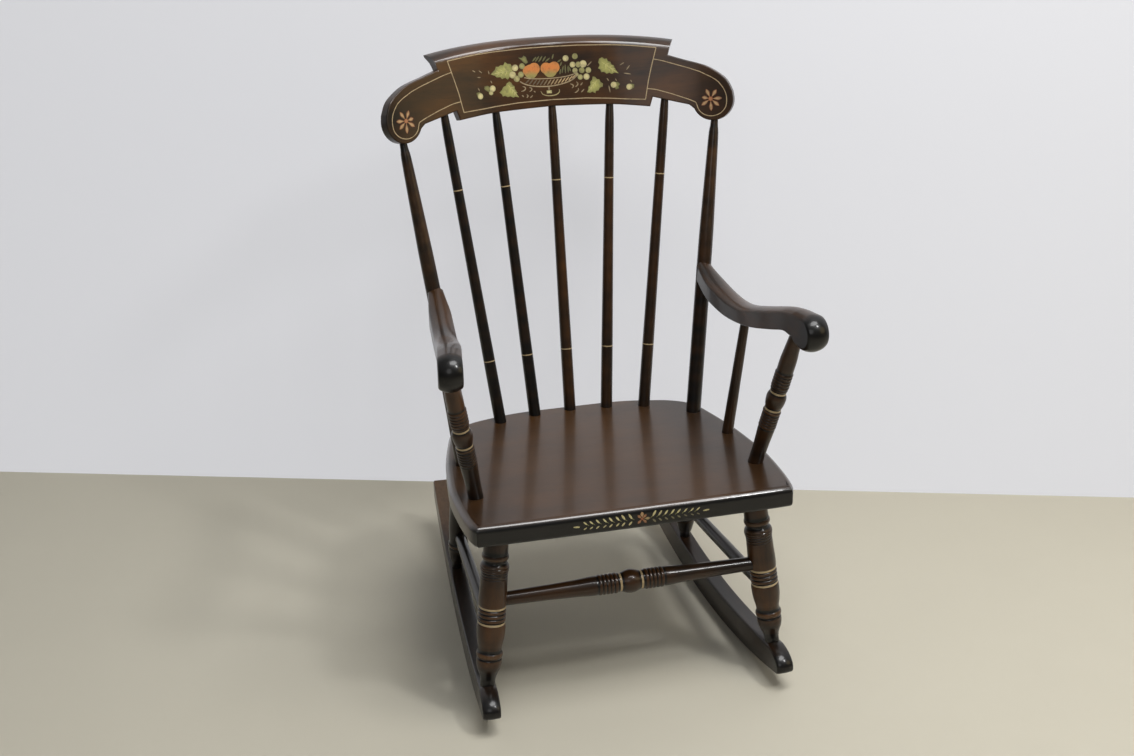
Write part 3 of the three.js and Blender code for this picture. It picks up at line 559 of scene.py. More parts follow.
def plank(outline, thickness, edge, crown=0, arc_steps=5, top=None):
    """A bmesh of a board lying from z = 0 to its thickness, with rounded edges and a crowned rim.

    The outline is a list of (x, y), or of (x, y, share of the crown). The layer "lip" is 0 on the top
    face and rises to 1 over the rounded edge."""
    rim = clean_outline([(*point, 0)[:3] for point in outline])
    board = bmesh.new()
    lip = board.verts.layers.float.new("lip")
    arcs = [math.pi / 2 * i / arc_steps for i in range(arc_steps + 1)]
    top = top or edge
    near = [(1 - math.cos(a), 1 - math.sin(a)) for a in arcs]
    across = [lerp(edge, thickness - top, i / 8) for i in range(1, 8)] if crown else []
    levels = [(edge * z, edge * inset) for z, inset in near] + [(z, 0) for z in across]
    levels += [(thickness - top * z, top * inset) for z, inset in near[::-1]]
    rings = []
    for z, inset in levels:
        drop = crown_drop(thickness, crown, z)
        ring = [board.verts.new((x, y, z)) for x, y in drawn_in(rim, lambda share: inset + share * drop)]
        for vert in ring:
            vert[lip] = clamp((thickness - z) / top * LIP_RISE - LIP_START)
        rings.append(ring)
    close_rings(board, rings)
    return board


def slice_board(board, start, end, spacing):
    """Cuts the board across at even places along it, so that it can bend there."""
    count = int((end - start) / spacing)
    for i in range(1, count):
        bmesh.ops.bisect_plane(board, geom=board.verts[:] + board.edges[:] + board.faces[:],
                               plane_co=(lerp(start, end, i / count), 0, 0), plane_no=(1, 0, 0), dist=0.01)


def plank_piece(name, board, mapping, material, **shares):
    """Adds the object of a board, its flat coordinates mapped on to the chair.

    Each of the shares dark, gleam and wear is a function of a flat point and its lip."""
    lip = board.verts.layers.float.get("lip")
    board.verts.index_update()
    points = [mapping(*v.co) for v in board.verts]
    grain = [(v.co.y, v.co.z, v.co.x) for v in board.verts]
    values = {key: [share(v.co, v[lip] if lip else 0) for v in board.verts] for key, share in shares.items()}
    faces = [[v.index for v in f.verts] for f in board.faces]
    board.free()
    piece = finish_piece(name, points, faces, material, grain, **values)
    modifier = piece.modifiers.new("flat faces", "WEIGHTED_NORMAL")
    modifier.keep_sharp = True


# Finishes

# Scales of the noises, in waves to the metre
STREAK_SCALE = (120, 120, 7)
CLOUD_SCALE = (22, 22, 8)
PORE_SCALE = (1300, 1300, 60)
SCUFF_SCALE = (120, 120, 55)
BEECH_SCALE = (300, 20, 300)
SPECKLE_SCALE = (700, 700, 700)
PATCH_SCALE = (130, 130, 130)
FLOOR_SCALE = (3, 3, 3)

# Between which values of its noise each of them sets in
PORE_RANGE = (0.6, 0.74)
RUBBED_RANGE = (0.3, 0.9)
GOLD_RANGE = (0.3, 0.5)
SPECKLE_RANGE = (0.52, 0.75)
PATCH_RANGE = (0.47, 0.7)

# Brown of the worn paint
UNDER_PAINT = (0.045, 0.028, 0.015)


class Value:
    """A shader socket that takes part in sums: each operator adds its Math node."""

    def __init__(self, finish, socket):
        self.finish = finish
        self.socket = socket

    def math(self, operation, first, second):
        return self.finish.node("ShaderNodeMath", {"operation": operation}, first, second)

    def __add__(self, other):
        return self.math("ADD", self, other)

    def __mul__(self, other):
        return self.math("MULTIPLY", self, other)

    def __sub__(self, other):
        return self.math("SUBTRACT", self, other)

    def __rsub__(self, other):
        return self.math("SUBTRACT", other, self)

    __radd__ = __add__
    __rmul__ = __mul__

    def clamped(self):
        return self.finish.node("ShaderNodeClamp", {}, self)

    def between(self, low, high):
        """0 below low, 1 above high and smooth in between."""
        smooth = {"interpolation_type": "SMOOTHSTEP"}
        return self.finish.node("ShaderNodeMapRange", smooth, self, low, high)

    def output(self, name):
        """Another output of the same node."""
        return Value(self.finish, self.socket.node.outputs[name])


class Finish:
    """The node tree of a material or of the world."""

    def __init__(self, owner):
        owner.use_nodes = True
        self.owner = owner
        self.tree = owner.node_tree
        self.surface = self.tree.nodes.get("Principled BSDF") or self.tree.nodes["Background"]
        self.shader = Value(self, self.surface.outputs[0])

    def node(self, kind, choices, *inputs, out=0, **named):
        """One node: its choices first, then the values or links of its sockets."""
        node = self.tree.nodes.new(kind)
        for key, value in choices.items():
            setattr(node, key, value)
        for key, value in list(enumerate(inputs)) + [(k.replace("_", " "), v) for k, v in named.items()]:
            self.feed(node.inputs[key], value)
        return Value(self, node.outputs[out])

    def feed(self, socket, value):
        """A link or a value for a socket. A colour may come without its alpha."""
        if isinstance(value, Value):
            self.tree.links.new(value.socket, socket)
        elif value is not None:
            plain = socket.type == "RGBA" and len(value) == 3
            socket.default_value = (*value, 1) if plain else value

    def set(self, **sockets):
        """Links or values for the shader's own sockets."""
        for key, value in sockets.items():
            self.feed(self.surface.inputs[key.replace("_", " ")], value)

    def show(self, shader):
        """Makes a shader the one that is seen."""
        output = next(node for node in self.tree.nodes if node.type.startswith("OUTPUT"))
        self.feed(output.inputs["Surface"], shader)

    def attribute(self, name, out="Fac"):
        return self.node("ShaderNodeAttribute", {"attribute_name": name}, out=out)

    def coordinates(self, out="Object"):
        return self.node("ShaderNodeTexCoord", {}, out=out)

    def noise(self, vector, scale, detail=4.0, roughness=0.55, distortion=0.0):
        stretched = self.node("ShaderNodeVectorMath", {"operation": "MULTIPLY"}, vector, scale)
        return self.node("ShaderNodeTexNoise", {}, Vector=stretched, Scale=1.0, Detail=detail,
                         Roughness=roughness, Distortion=distortion)

    def mix(self, factor, first, second):
        """A mix of two colours, whose sockets follow those of numbers and vectors."""
        others = [None] * 5
        return self.node("ShaderNodeMix", {"data_type": "RGBA"}, factor, *others, first, second, out=2)


def new_finish(name):
    """The node tree of a new material."""
    return Finish(bpy.data.materials.new(name))


def walnut(name, colours, stain, brown, coat, gloss):
    """Stained wood under lacquer: brown shows through the black stain along the grain."""
    finish = new_finish(name)
    grain = finish.attribute("grain", "Vector")
    streaks = finish.noise(grain, STREAK_SCALE, distortion=0.5)
    clouds = finish.noise(grain, CLOUD_SCALE)
    pores = finish.noise(grain, PORE_SCALE, 2, 0.5).between(*PORE_RANGE)
    scuffs = finish.noise(grain, SCUFF_SCALE, 5, 0.65)
    warm = ((clouds - 0.5) * 1.8 + (streaks - 0.5) * 0.4 + colours.warmth).clamped()
    colour = finish.mix(warm, stain, brown)
    black = (finish.attribute("dark") * (0.75 + 0.6 * scuffs)).clamped()
    colour = finish.mix(black, colour, colours.ebony)
    # The rubbed brown is real wear, and also a painted reflection on the rockers' rear and a painted
    # highlight on the rises of turned pieces.
    rubbed = (finish.attribute("wear") * (0.35 + scuffs)).between(*RUBBED_RANGE)
    colour = finish.mix(rubbed * 0.45, colour, colours.rubbed)
    colour = finish.mix(pores * 0.55, colour, colours.ebony)
    painted = finish.attribute("gilt") * (0.72 + 0.28 * scuffs.between(*GOLD_RANGE))
    colour = finish.mix(painted.clamped(), colour, colours.gold)
    rough = colours.sheen + 0.08 * streaks + 0.06 * scuffs
    relief = finish.node("ShaderNodeBump", {}, Height=streaks * 0.5 - pores, Strength=0.04, Distance=0.0004)
    finish.set(Base_Color=colour, Roughness=rough, Normal=relief, Specular_IOR_Level=0.22,
               Coat_Weight=finish.attribute("gleam") * (1 - coat) + coat, Coat_Roughness=gloss)
    return finish.owner


def bare_wood(name, colours):
    """Unfinished beech."""
    finish = new_finish(name)
    streaks = finish.noise(finish.coordinates(), BEECH_SCALE)
    colour = finish.mix(streaks, colours.beech, [part * 0.7 for part in colours.beech])
    finish.set(Base_Color=colour, Roughness=0.6 + 0.1 * streaks)
    return finish.owner


def stencil_paint(name):
    """Thin rubbed bronze-powder paint: its colours are held by the shapes themselves."""
    finish = new_finish(name)
    spot = finish.coordinates()
    speckle = finish.noise(spot, SPECKLE_SCALE, roughness=0.7)
    patches = finish.noise(spot, PATCH_SCALE, 3)
    thin = (0.8 * speckle.between(*SPECKLE_RANGE) + 0.6 * patches.between(*PATCH_RANGE)).clamped()
    colour = finish.mix(thin * 0.62, finish.attribute("paint", "Color"), UNDER_PAINT)
    finish.set(Base_Color=colour, Roughness=0.36 + 0.2 * speckle)
    return finish.owner


# Painted shapes

# How far a film of paint stands out, how much more for each layer, and how deep it is sunk
FILM_LIFT = 0.16
FILM_STEP = 0.05
FILM_SUNK = -0.5

# Where a stroke starts and ends in the half wave that gives its width
TAPER_SHARES = (0.12, 0.88)


class Paint:
    """Collects painted shapes on one surface as closed films that just stand proud of it."""

    def __init__(self, mapping):
        self.mapping = mapping
        self.points, self.faces, self.colours = [], [], []

    def body(self, rings, colours):
        """A closed body through rings of (a, b, lift), each with its own colour."""
        start, count = len(self.points), len(rings[0])
        for ring, colour in zip(rings, colours):
            self.points += [self.mapping(*point) for point in ring]
            self.colours += [colour] * count
        for low in range(start, len(self.points) - count, count):
            for i in range(count):
                j = (i + 1) % count
                self.faces.append((low + i, low + j, low + count + j, low + count + i))
        last = len(self.points) - count
        self.faces += [tuple(range(last, last + count)), tuple(range(start + count - 1, start - 1, -1))]

    def blob(self, outline, rim, heart, layer=0, steps=(1, 0.72, 0.38, 0.12)):
        """A shape shaded from its rim to its heart, in rings at steps towards its middle."""
        outline = clean_outline(outline)
        ca, cb = (sum(part) / len(outline) for part in zip(*outline))
        lift = FILM_LIFT + FILM_STEP * layer
        rings = [[(lerp(ca, a, s), lerp(cb, b, s), lift) for a, b in outline] for s in steps]
        sunk = [(a, b, FILM_SUNK) for a, b, _ in rings[0]]
        colours = [blend(rim, heart, (1 - s) ** 0.8) for s in steps]
        self.body([sunk, *rings], [colours[0], *colours])

    def line(self, path, width, colour, layer=0, spacing=4, taper=False):
        """A brush line along a path."""
        path = resample(path, spacing)
        last = len(path) - 1
        lift = FILM_LIFT + FILM_STEP * layer
        sections = []
        for i, (a, b) in enumerate(path):
            a0, b0 = path[max(i - 1, 0)]
            a1, b1 = path[min(i + 1, last)]
            along = Vector((a1 - a0, b1 - b0)).normalized()
            half = width / 2 * (math.sin(math.pi * lerp(*TAPER_SHARES, i / last)) if taper else 1)
            left = (a - along.y * half, b + along.x * half)
            right = (a + along.y * half, b - along.x * half)
            sections.append([(*left, lift), (*right, lift), (*right, FILM_SUNK), (*left, FILM_SUNK)])
        self.body(sections, [colour] * len(sections))

    def stroke(self, path, width, colour, layer=1, spacing=2):
        """A brush line that thins out at both ends."""
        self.line(path, width, colour, layer, spacing, True)

    def finish(self, name):
        """Adds the object of all the shapes."""
        mesh = bpy.data.meshes.new(name)
        mesh.from_pydata([tuple(p) for p in self.points], [], self.faces)
        set_attribute(mesh, "paint", "FLOAT_COLOR", [(*colour, 1) for colour in self.colours])
        solid = bmesh.new()
        solid.from_mesh(mesh)
        bmesh.ops.recalc_face_normals(solid, faces=solid.faces)
        solid.to_mesh(mesh)
        solid.free()
        mesh.materials.append(material("gold_paint", stencil_paint))
        piece = add_object(name, mesh)
        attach(piece, "root")


def blend(first, second, t):
    """A colour between two others."""
    return tuple(lerp(a, b, t) for a, b in zip(first, second))


def resample(path, spacing):
    """Even points along a path."""
    result = [path[0]]
    for start, end in zip(path, path[1:]):
        pieces = max(1, round(math.dist(start, end) / spacing))
        for i in range(1, pieces + 1):
            result.append((lerp(start[0], end[0], i / pieces), lerp(start[1], end[1], i / pieces)))
    return result


def circle(a, b, radius, count=18):
    turns = [math.tau * i / count for i in range(count)]
    return [(a + radius * math.cos(turn), b + radius * math.sin(turn)) for turn in turns]


def petal(a, b, angle, start, end, width, count=7):
    """A drop shape that runs out from a centre at an angle."""
    out = Vector((math.cos(angle), math.sin(angle)))
    side = Vector((-out.y, out.x))
    left, right = [], []
    for i in range(count + 1):
        t = i / count
        half = width / 2 * math.sin(math.pi * t ** 1.5) if 0 < t < 1 else 0.15
        centre = Vector((a, b)) + out * lerp(start, end, t)
        left.append(tuple(centre + side * half))
        right.append(tuple(centre - side * half))
    return left + right[::-1]


# Settings that a user would change

def colour_setting(name, description, *default):
    return FloatVectorProperty(name=name, description=description, subtype="COLOR", default=default)


def share_setting(name, description, default):
    return FloatProperty(name=name, description=description, default=default, min=0, max=1)


def size_setting(name, description, millimetres):
    return FloatProperty(name=name, description=description, default=millimetres * MM, unit="LENGTH")


class ChairColours(bpy.types.PropertyGroup):
    """Colours of the stain, of the painted ornament and of the stage."""

    stain: colour_setting("Stain", "Darkest part of the stained wood", 0.011, 0.0075, 0.005)
    walnut: colour_setting("Walnut", "Brown that shows through the stain", 0.084, 0.032, 0.0065)
    seat: colour_setting("Seat brown", "Brown of the seat's top", 0.066, 0.029, 0.009)
    # The rubbed brown also stands for a painted reflection on the rockers' rear and a painted highlight on
    # turned rises.
    rubbed: colour_setting("Rubbed edge", "Lighter brown where edges are worn", 0.17, 0.1, 0.05)
    ebony: colour_setting("Black", "Black of the seat's edge and of the pores", 0.004, 0.0035, 0.003)
    gold: colour_setting("Gold", "Pale gold of the stripes and rings", 0.36, 0.27, 0.15)
    beech: colour_setting("Bare wood", "Unfinished dowels", 0.58, 0.39, 0.21)
    fruit: colour_setting("Fruit", "Orange of the stencilled fruit", 0.52, 0.15, 0.024)
    leaf: colour_setting("Leaf", "Green gold of the stencilled leaves", 0.33, 0.32, 0.085)
    berry: colour_setting("Berry", "Cream of the stencilled berries", 0.62, 0.54, 0.26)
    petal: colour_setting("Petal", "Cream of the rosettes' petals", 0.39, 0.27, 0.13)
    rust: colour_setting("Rust", "Orange red of the flowers' hearts", 0.26, 0.07, 0.02)
    warmth: share_setting("Warmth", "How much brown shows through the stain", 0.42)
    sheen: share_setting("Roughness", "Least roughness of the lacquer", 0.25)
    coat: share_setting("Coat", "Weight of the glossy top coat", 0.32)
    gloss: share_setting("Coat roughness", "Roughness of the top coat", 0.12)
    seat_coat: share_setting("Seat's coat", "Weight of the seat's top coat", 0.4)
    seat_gloss: share_setting("Seat's coat roughness", "Roughness of the seat's top coat", 0.13)
    floor: colour_setting("Floor", "Pale floor", 0.5, 0.47, 0.385)
    wall: colour_setting("Wall", "Pale wall behind the chair", 0.78, 0.785, 0.82)


class ChairSizes(bpy.types.PropertyGroup):
    """Sizes of the turned pieces and of the painted lines."""

    leg_radius: size_setting("Front leg radius", "Largest radius of a front leg", 23.5)
    rear_leg_radius: size_setting("Rear leg radius", "Largest radius of a rear leg", 19)
    spindle_radius: size_setting("Spindle radius", "Largest radius of a back spindle", 10.6)
    post_radius: size_setting("Post radius", "Largest radius of a back post", 13.2)
    arm_post_radius: size_setting("Arm post radius", "Radius of an arm post's ball", 16.5)
    arm_spindle_radius: size_setting("Arm spindle radius", "Largest radius of an arm spindle", 9.9)
    front_stretcher_radius: size_setting("Front stretcher radius", "Radius of its ball", 19.5)
    side_stretcher_radius: size_setting("Side stretcher radius", "Largest radius of a side stretcher", 11)
    rear_stretcher_radius: size_setting("Rear stretcher radius", "Largest radius of the rear stretcher", 9.5)
    stripe_width: size_setting("Stripe width", "Width of the gold stripes", 1.5)
    ring_width: size_setting("Ring width", "Width of the gold rings on the spindles", 1.8)
    band_width: size_setting("Band width", "Width of the gold bands on legs and posts", 3.2)
    sides: IntProperty(name="Sides", description="Facets round a plain turned piece", default=40, min=12)


def settings():
    """The chair's sizes and colours."""
    return bpy.context.scene.chair_sizes, bpy.context.scene.chair_colours


def material(name, make, *arguments):
    """The named material, made the first time that it is asked for."""
    return bpy.data.materials.get(name) or make(name, *arguments)


def frame_wood():
    colours = settings()[1]
    return material("dark_walnut", walnut, colours, colours.stain, colours.walnut, colours.coat,
                    colours.gloss)


# Turned pieces

def on_axis(ends, height):
    """The point of a turned piece's centre line at a height in millimetres."""
    foot, head = ends
    return foot.lerp(head, (height * MM - foot.z) / (head.z - foot.z))


def leg_ends(side, foot_y, inset, head_y, spread):
    """Foot and head of a leg, between a rocker and the seat."""
    return (place(side * (rocker_spread(foot_y) - inset), foot_y, rocker_top(foot_y)),
            place(side * spread, head_y, seat_bottom(head_y)))


def arm_support_ends(side, foot_x, foot_y, head_x, head_y):
    """Foot and head of an arm's support, between the seat and the arm."""
    return (place(side * foot_x, foot_y, seat_top(foot_y)),
            place(side * head_x, head_y, arm_underside(head_y)))


def stretcher(name, legs, heights, insets, radius, **details):
    """Adds a stretcher between two legs, at a height on each leg and in from its centre line."""
    start, end = (on_axis(leg, height) for leg, height in zip(legs, heights))
    along = (end - start).normalized() * MM
    turned(name, start + along * insets[0], end - along * insets[1],
           radius=radius, **{**STRETCHER_TURNING, **details})


class CHAIR_OT_back_spindles(bpy.types.Operator):
    """Adds the five back spindles and the two back posts"""

    bl_idname = "chair.back_spindles"
    bl_label = "Back spindles and posts"

    def execute(self, context):
        sizes = settings()[0]
        for number, (x, y, arc) in enumerate(SPINDLE_PLACES, 1):
            # The two left spindles take the dark table as painted shade.
            turned(f"back_spindle_{number}", place(x, y, seat_top(y)),
                   bend_point(arc, crest_lower(arc), CREST_THICKNESS / 2),
                   radius=sizes.spindle_radius / MM, band=sizes.ring_width / MM, sides=sizes.sides,
                   shade=DARK_SHADE if number <= SHADED_SPINDLES else PLAIN_SHADE, **SPINDLE_TURNING)
        x, y = POST_PLACE
        low = LOBE_SHARE[1] * CREST_RISE - LOBE_RADIUS
        for hand, side in SIDES.items():
            turned(f"back_post_{hand}", place(side * x, y, seat_top(y)),
                   bend_point(side * LOBE_SHARE[0] * CREST_HALF, low, CREST_THICKNESS / 2),
                   radius=sizes.post_radius / MM, sides=sizes.sides, **POST_TURNING)
        return {"FINISHED"}


class CHAIR_OT_arm_supports(bpy.types.Operator):
    """Adds the turned arm posts and the plain arm spindles"""

    bl_idname = "chair.arm_supports"
    bl_label = "Arm posts and spindles"

    def execute(self, context):
        sizes = settings()[0]
        for hand, side in SIDES.items():
            turned(f"arm_post_{hand}", *arm_support_ends(side, *ARM_POST_PLACE),
                   radius=sizes.arm_post_radius / MM, band=sizes.band_width / MM, **ARM_POST_TURNING)
            turned(f"arm_spindle_{hand}", *arm_support_ends(side, *ARM_SPINDLE_PLACE),
                   radius=sizes.arm_spindle_radius / MM, sides=sizes.sides, **ARM_SPINDLE_TURNING)
        return {"FINISHED"}


class CHAIR_OT_legs(bpy.types.Operator):
    """Adds the four turned legs and the four stretchers"""

    bl_idname = "chair.legs"
    bl_label = "Legs and stretchers"

    def execute(self, context):
        sizes = settings()[0]
        band = sizes.band_width / MM
        fronts, rears = [], []
        for hand, side in SIDES.items():
            front, rear = leg_ends(side, *FRONT_LEG_PLACE), leg_ends(side, *REAR_LEG_PLACE)
            turned(f"front_leg_{hand}", *front, radius=sizes.leg_radius / MM, band=band, **FRONT_LEG_TURNING)
            turned(f"rear_leg_{hand}", *rear, radius=sizes.rear_leg_radius / MM, **REAR_LEG_TURNING)
            stretcher(f"side_stretcher_{hand}", (front, rear), SIDE_STRETCHER_HEIGHTS,
                      SIDE_STRETCHER_INSETS, sizes.side_stretcher_radius / MM)
            fronts.append(front)
            rears.append(rear)
        stretcher("front_stretcher", fronts, FRONT_STRETCHER_HEIGHTS, FRONT_STRETCHER_INSETS,
                  sizes.front_stretcher_radius / MM, band=band, **FRONT_STRETCHER_TURNING)
        stretcher("rear_stretcher", rears, REAR_STRETCHER_HEIGHTS, REAR_STRETCHER_INSETS,
                  sizes.rear_stretcher_radius / MM)
        return {"FINISHED"}


# Boards

class CHAIR_OT_seat(bpy.types.Operator):
    """Adds the plank seat with its black edge"""

    bl_idname = "chair.seat"
    bl_label = "Seat"

    def execute(self, context):
        half = [(x * SEAT_HALF_WIDTH, s * SEAT_DEPTH) for x, s in SEAT_OUTLINE_SHARES]
        right = curve_through(half, SEAT_SIDE_STEPS)
        corner = right[-1][0]
        turns = [math.pi * i / SEAT_FRONT_STEPS for i in range(1, SEAT_FRONT_STEPS)]
        front = [(corner * math.cos(turn), -SEAT_BOW * math.sin(turn)) for turn in turns]
        left = [(-x, y) for x, y in right[::-1]]
        board = plank(right + front + left, SEAT_THICKNESS, SEAT_EDGE, arc_steps=8, top=SEAT_TOP_EDGE)
        slice_board(board, -SEAT_HALF_WIDTH, SEAT_HALF_WIDTH, SEAT_SLICE)
        colours = settings()[1]
        stain = blend(colours.stain, colours.seat, SEAT_STAIN_BROWN)
        wood = material("seat_walnut", walnut, colours, stain, colours.seat, colours.seat_coat,
                        colours.seat_gloss)
        plank_piece("seat", board, lambda x, y, z: seat_point(x, y, SEAT_THICKNESS - z), wood,
                    dark=seat_shade, gleam=seat_gleam, wear=seat_wear)
        return {"FINISHED"}


def seat_shade(point, lip):
    """Black on the front edge, and darker towards both sides of the top."""
    front = 1 - smoothstep(point.y, *SEAT_BLACK_DEPTHS)
    sides = smoothstep(abs(point.x + SEAT_SHADE_SHIFT), *SEAT_SHADE_SPREADS)
    return clamp(lip * lerp(SEAT_SIDE_BLACK, 1, front) + SEAT_TOP_SHADE * (1 - lip) * sides)


def seat_gleam(_, lip):
    """The round of the top's edge gleams."""
    return smoothstep(lip, 0, 0.15) * (1 - smoothstep(lip, 0.7, 1))


def seat_wear(point, lip):
    """The sides are rubbed behind the front edge."""
    return SEAT_RUBBED * lip * smoothstep(point.y, *SEAT_RUBBED_DEPTHS)


def crest_outline():
    def flat(shares):
        return [(a * CREST_HALF, b * CREST_RISE) for a, b in shares]
    (x, y), = flat([LOBE_SHARE])
    turns = [math.radians(degrees) for degrees in range(*LOBE_DEGREES)]
    right = [
        *curve_through(flat([*LOWER_EDGE_SHARES, PANEL_FOOT_SHARE]), 20),
        *curve_through(flat([EAR_STEP_SHARE, *EAR_LOWER_SHARES]), 12),
        *((x + LOBE_RADIUS * math.cos(turn), y + LOBE_RADIUS * math.sin(turn)) for turn in turns),
        *curve_through(flat(EAR_UPPER_SHARES[::-1]), 28),
        *flat([PANEL_STEP_SHARE]),
        *curve_through(flat([PANEL_TOP_SHARE, *TOP_EDGE_SHARES]), 20),
    ]
    return right + [(-x, y) for x, y in right[-2:0:-1]]


def top_edge(share):
    """Height of the middle panel's top edge at a share of its half width."""
    return lerp(CREST_RISE, PANEL_TOP_SHARE[1] * CREST_RISE, abs(share) ** 2.2)


def roll_board():
    """The rolled top of the middle panel, flat: swept along the panel's curved top edge."""
    outer, inner = ([(d * ROLL_DEPTH, r * ROLL_RISE) for d, r in shares]
                    for shares in (ROLL_OUTER_SHARES, ROLL_INNER_SHARES))
    section = [outer[0], *curve_through(outer[1:], 33), *inner, (CREST_THICKNESS - 0.5, -ROLL_RISE)]
    top_x, top_y = PANEL_TOP_SHARE[0] * CREST_HALF, PANEL_TOP_SHARE[1] * CREST_RISE
    slant = ((PANEL_TOP_SHARE[0] - PANEL_STEP_SHARE[0]) * CREST_HALF
             / ((PANEL_TOP_SHARE[1] - PANEL_STEP_SHARE[1]) * CREST_RISE))
    roll = bmesh.new()
    rings = []
    for i in range(ROLL_STEPS + 1):
        share = lerp(-1, 1, i / ROLL_STEPS)
        places = [(top_edge(share) + rise, depth) for depth, rise in section]
        rings.append([roll.verts.new((share * (top_x + (y - top_y) * slant), y, CREST_THICKNESS - depth))
                      for y, depth in places])
    close_rings(roll, rings)
    bmesh.ops.recalc_face_normals(roll, faces=roll.faces)
    return roll


def roll_gleam(point, _):
    """The rolled edge over the panel gleams."""
    share = point.x / (PANEL_TOP_SHARE[0] * CREST_HALF)
    over = (point.y - top_edge(clamp(share, -1, 1))) / ROLL_RISE
    return (smoothstep(over, -0.4, -0.3) * (1 - smoothstep(over, 0.15, 0.4))
            * (1 - smoothstep(abs(share), 1.05, 1.1)))


def crest_shade(point, _):
    """Brown in the middle and darker at the ears."""
    return CREST_SHADE * smoothstep(abs(point.x), *CREST_SHADE_ARCS)


def joined(first, second):
    """The union of two bmeshes."""
    made = []
    for source in (first, second):
        mesh = bpy.data.meshes.new("joined")
        source.to_mesh(mesh)
        source.free()
        made.append(add_object("joined", mesh))
    modifier = made[0].modifiers.new("union", "BOOLEAN")
    modifier.operation = "UNION"
    modifier.solver = "EXACT"
    modifier.object = made[1]
    graph = bpy.context.evaluated_depsgraph_get()
    result = bmesh.new()
    result.from_mesh(made[0].evaluated_get(graph).to_mesh())
    for piece in made:
        bpy.data.objects.remove(piece)
    return result


class CHAIR_OT_crest(bpy.types.Operator):
    """Adds the bent crest board with its rolled top and round ears"""

    bl_idname = "chair.crest"
    bl_label = "Crest board"

    def execute(self, context):
        board = plank(crest_outline(), CREST_THICKNESS, CREST_EDGE, arc_steps=4)
        board = joined(board, roll_board())
        slice_board(board, -CREST_HALF, CREST_HALF, CREST_SLICE)
        plank_piece("crest_rail", board, lambda u, v, z: bend_point(u, v, CREST_THICKNESS - z),
                    frame_wood(), dark=crest_shade, gleam=roll_gleam)
        return {"FINISHED"}


class CHAIR_OT_arms(bpy.types.Operator):
    """Adds the two scroll arms and gives the dowels that hold them their wood"""

    bl_idname = "chair.arms"
    bl_label = "Arms"

    def execute(self, context):
        for hand, side in SIDES.items():
            board = plank(arm_rim(), ARM_WIDTH, ARM_EDGE, ARM_CROWN)
            slice_board(board, 0, ARM_LENGTH, ARM_SLICE)
            plank_piece(f"arm_{hand}", board, lambda a, h, z, side=side: arm_point(side, a, h, z),
                        frame_wood(), dark=arm_shade)
        dowel_wood = material("bare_beech", bare_wood, settings()[1])
        for hand in SIDES:
            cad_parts[f"arm_dowel_{hand}"].data.materials[0] = dowel_wood
        return {"FINISHED"}


def arm_shade(point, _):
    """Brown along the arm and black on its round front."""
    return lerp(*ARM_BLACKS, smoothstep(point.x - ARM_LENGTH, *ARM_BLACK_REACHES))


def arm_rim():
    """The arm's side outline with its shares of the crown: its top and round front are domed."""
    def flat(shares, count, crown):
        points = [(a * ARM_LENGTH, ARM_LOW_HEIGHT + h * ARM_ROLL_RADIUS) for a, h in shares]
        return [(*point, crown) for point in curve_through(points, count)]
    roll = []
    for degrees in range(*ARM_ROLL_DEGREES):
        angle = math.radians(degrees)
        roll.append((ARM_LENGTH + ARM_ROLL_RADIUS * math.cos(angle),
                     ARM_LOW_HEIGHT + ARM_ROLL_RISE + ARM_ROLL_RADIUS * math.sin(angle),
                     smoothstep(degrees, *ARM_DOME_DEGREES)))
    return flat(ARM_UPPER_SHARES, 60, 1) + roll + flat(ARM_LOWER_SHARES, 50, 0)


def arm_point(side, along, height, across):
    """A point of an arm: forward from its rear end, up, and across its width."""
    narrow = smoothstep(along, -ARM_TAPER / 4, ARM_TAPER)
    width = lerp(ARM_REAR_WIDTH / ARM_WIDTH, 1, narrow)
    share = clamp(along / ARM_LENGTH)
    out = (ARM_WIDTH / 2 - across) * width - side * 4 * ARM_BOW * share * (1 - share)
    x = out * math.cos(ARM_TOE) + side * along * math.sin(ARM_TOE)
    y = side * out * math.sin(ARM_TOE) - along * math.cos(ARM_TOE)
    return place(side * ARM_REAR_SPREAD + x, ARM_REAR + y, height)


def rocker_rim():
    """The rocker's side outline with its shares of the crown: only its nose is domed."""
    front, rear = -ROCKER_FRONT, ROCKER_REAR
    tip, rear_round = front + ROCKER_NOSE_TIP, rear - ROCKER_REAR_ROUND
    nose_end = front + ROCKER_NOSE
    bottom = [(y, rocker_bottom(y), 0) for y in (lerp(tip, rear_round, i / 90) for i in range(91))]
    back = [(rear, rocker_bottom(rear) + ROCKER_REAR_ROUND, 0),
            (rear, rocker_top(rear) - ROCKER_REAR_ROUND, 0)]
    top = [(y, rocker_top(y), 1 - smoothstep(y, nose_end, nose_end + ROCKER_CROWN_FADE))
           for y in (lerp(rear_round, nose_end, i / 80) for i in range(81))]
    shares = ROCKER_NOSE_SHARES
    nose_low = lerp(rocker_bottom(front), rocker_top(front), shares["low"])
    handles = [(nose_end, rocker_top(nose_end)),
               (nose_end - ROCKER_NOSE * shares["run"], rocker_top(nose_end) + ROCKER_NOSE_RISE),
               (front, nose_low + ROCKER_DEPTH * shares["drop"]), (front, nose_low)]
    nose = [(*curve_point(handles, i / 24), 1) for i in range(1, 25)]
    low = [(front, nose_low), (front, rocker_bottom(front)), (tip, rocker_bottom(tip))]
    chin = [(*curve_point(low, i / 6), 1 - i / 6) for i in range(1, 6)]
    return bottom + back + top + nose + chin


def curve_point(handles, t):
    """A point of the Bezier curve of any number of handles."""
    last = len(handles) - 1
    weights = [math.comb(last, k) * (1 - t) ** (last - k) * t ** k for k in range(last + 1)]
    return tuple(sum(w * part for w, part in zip(weights, parts)) for parts in zip(*handles))


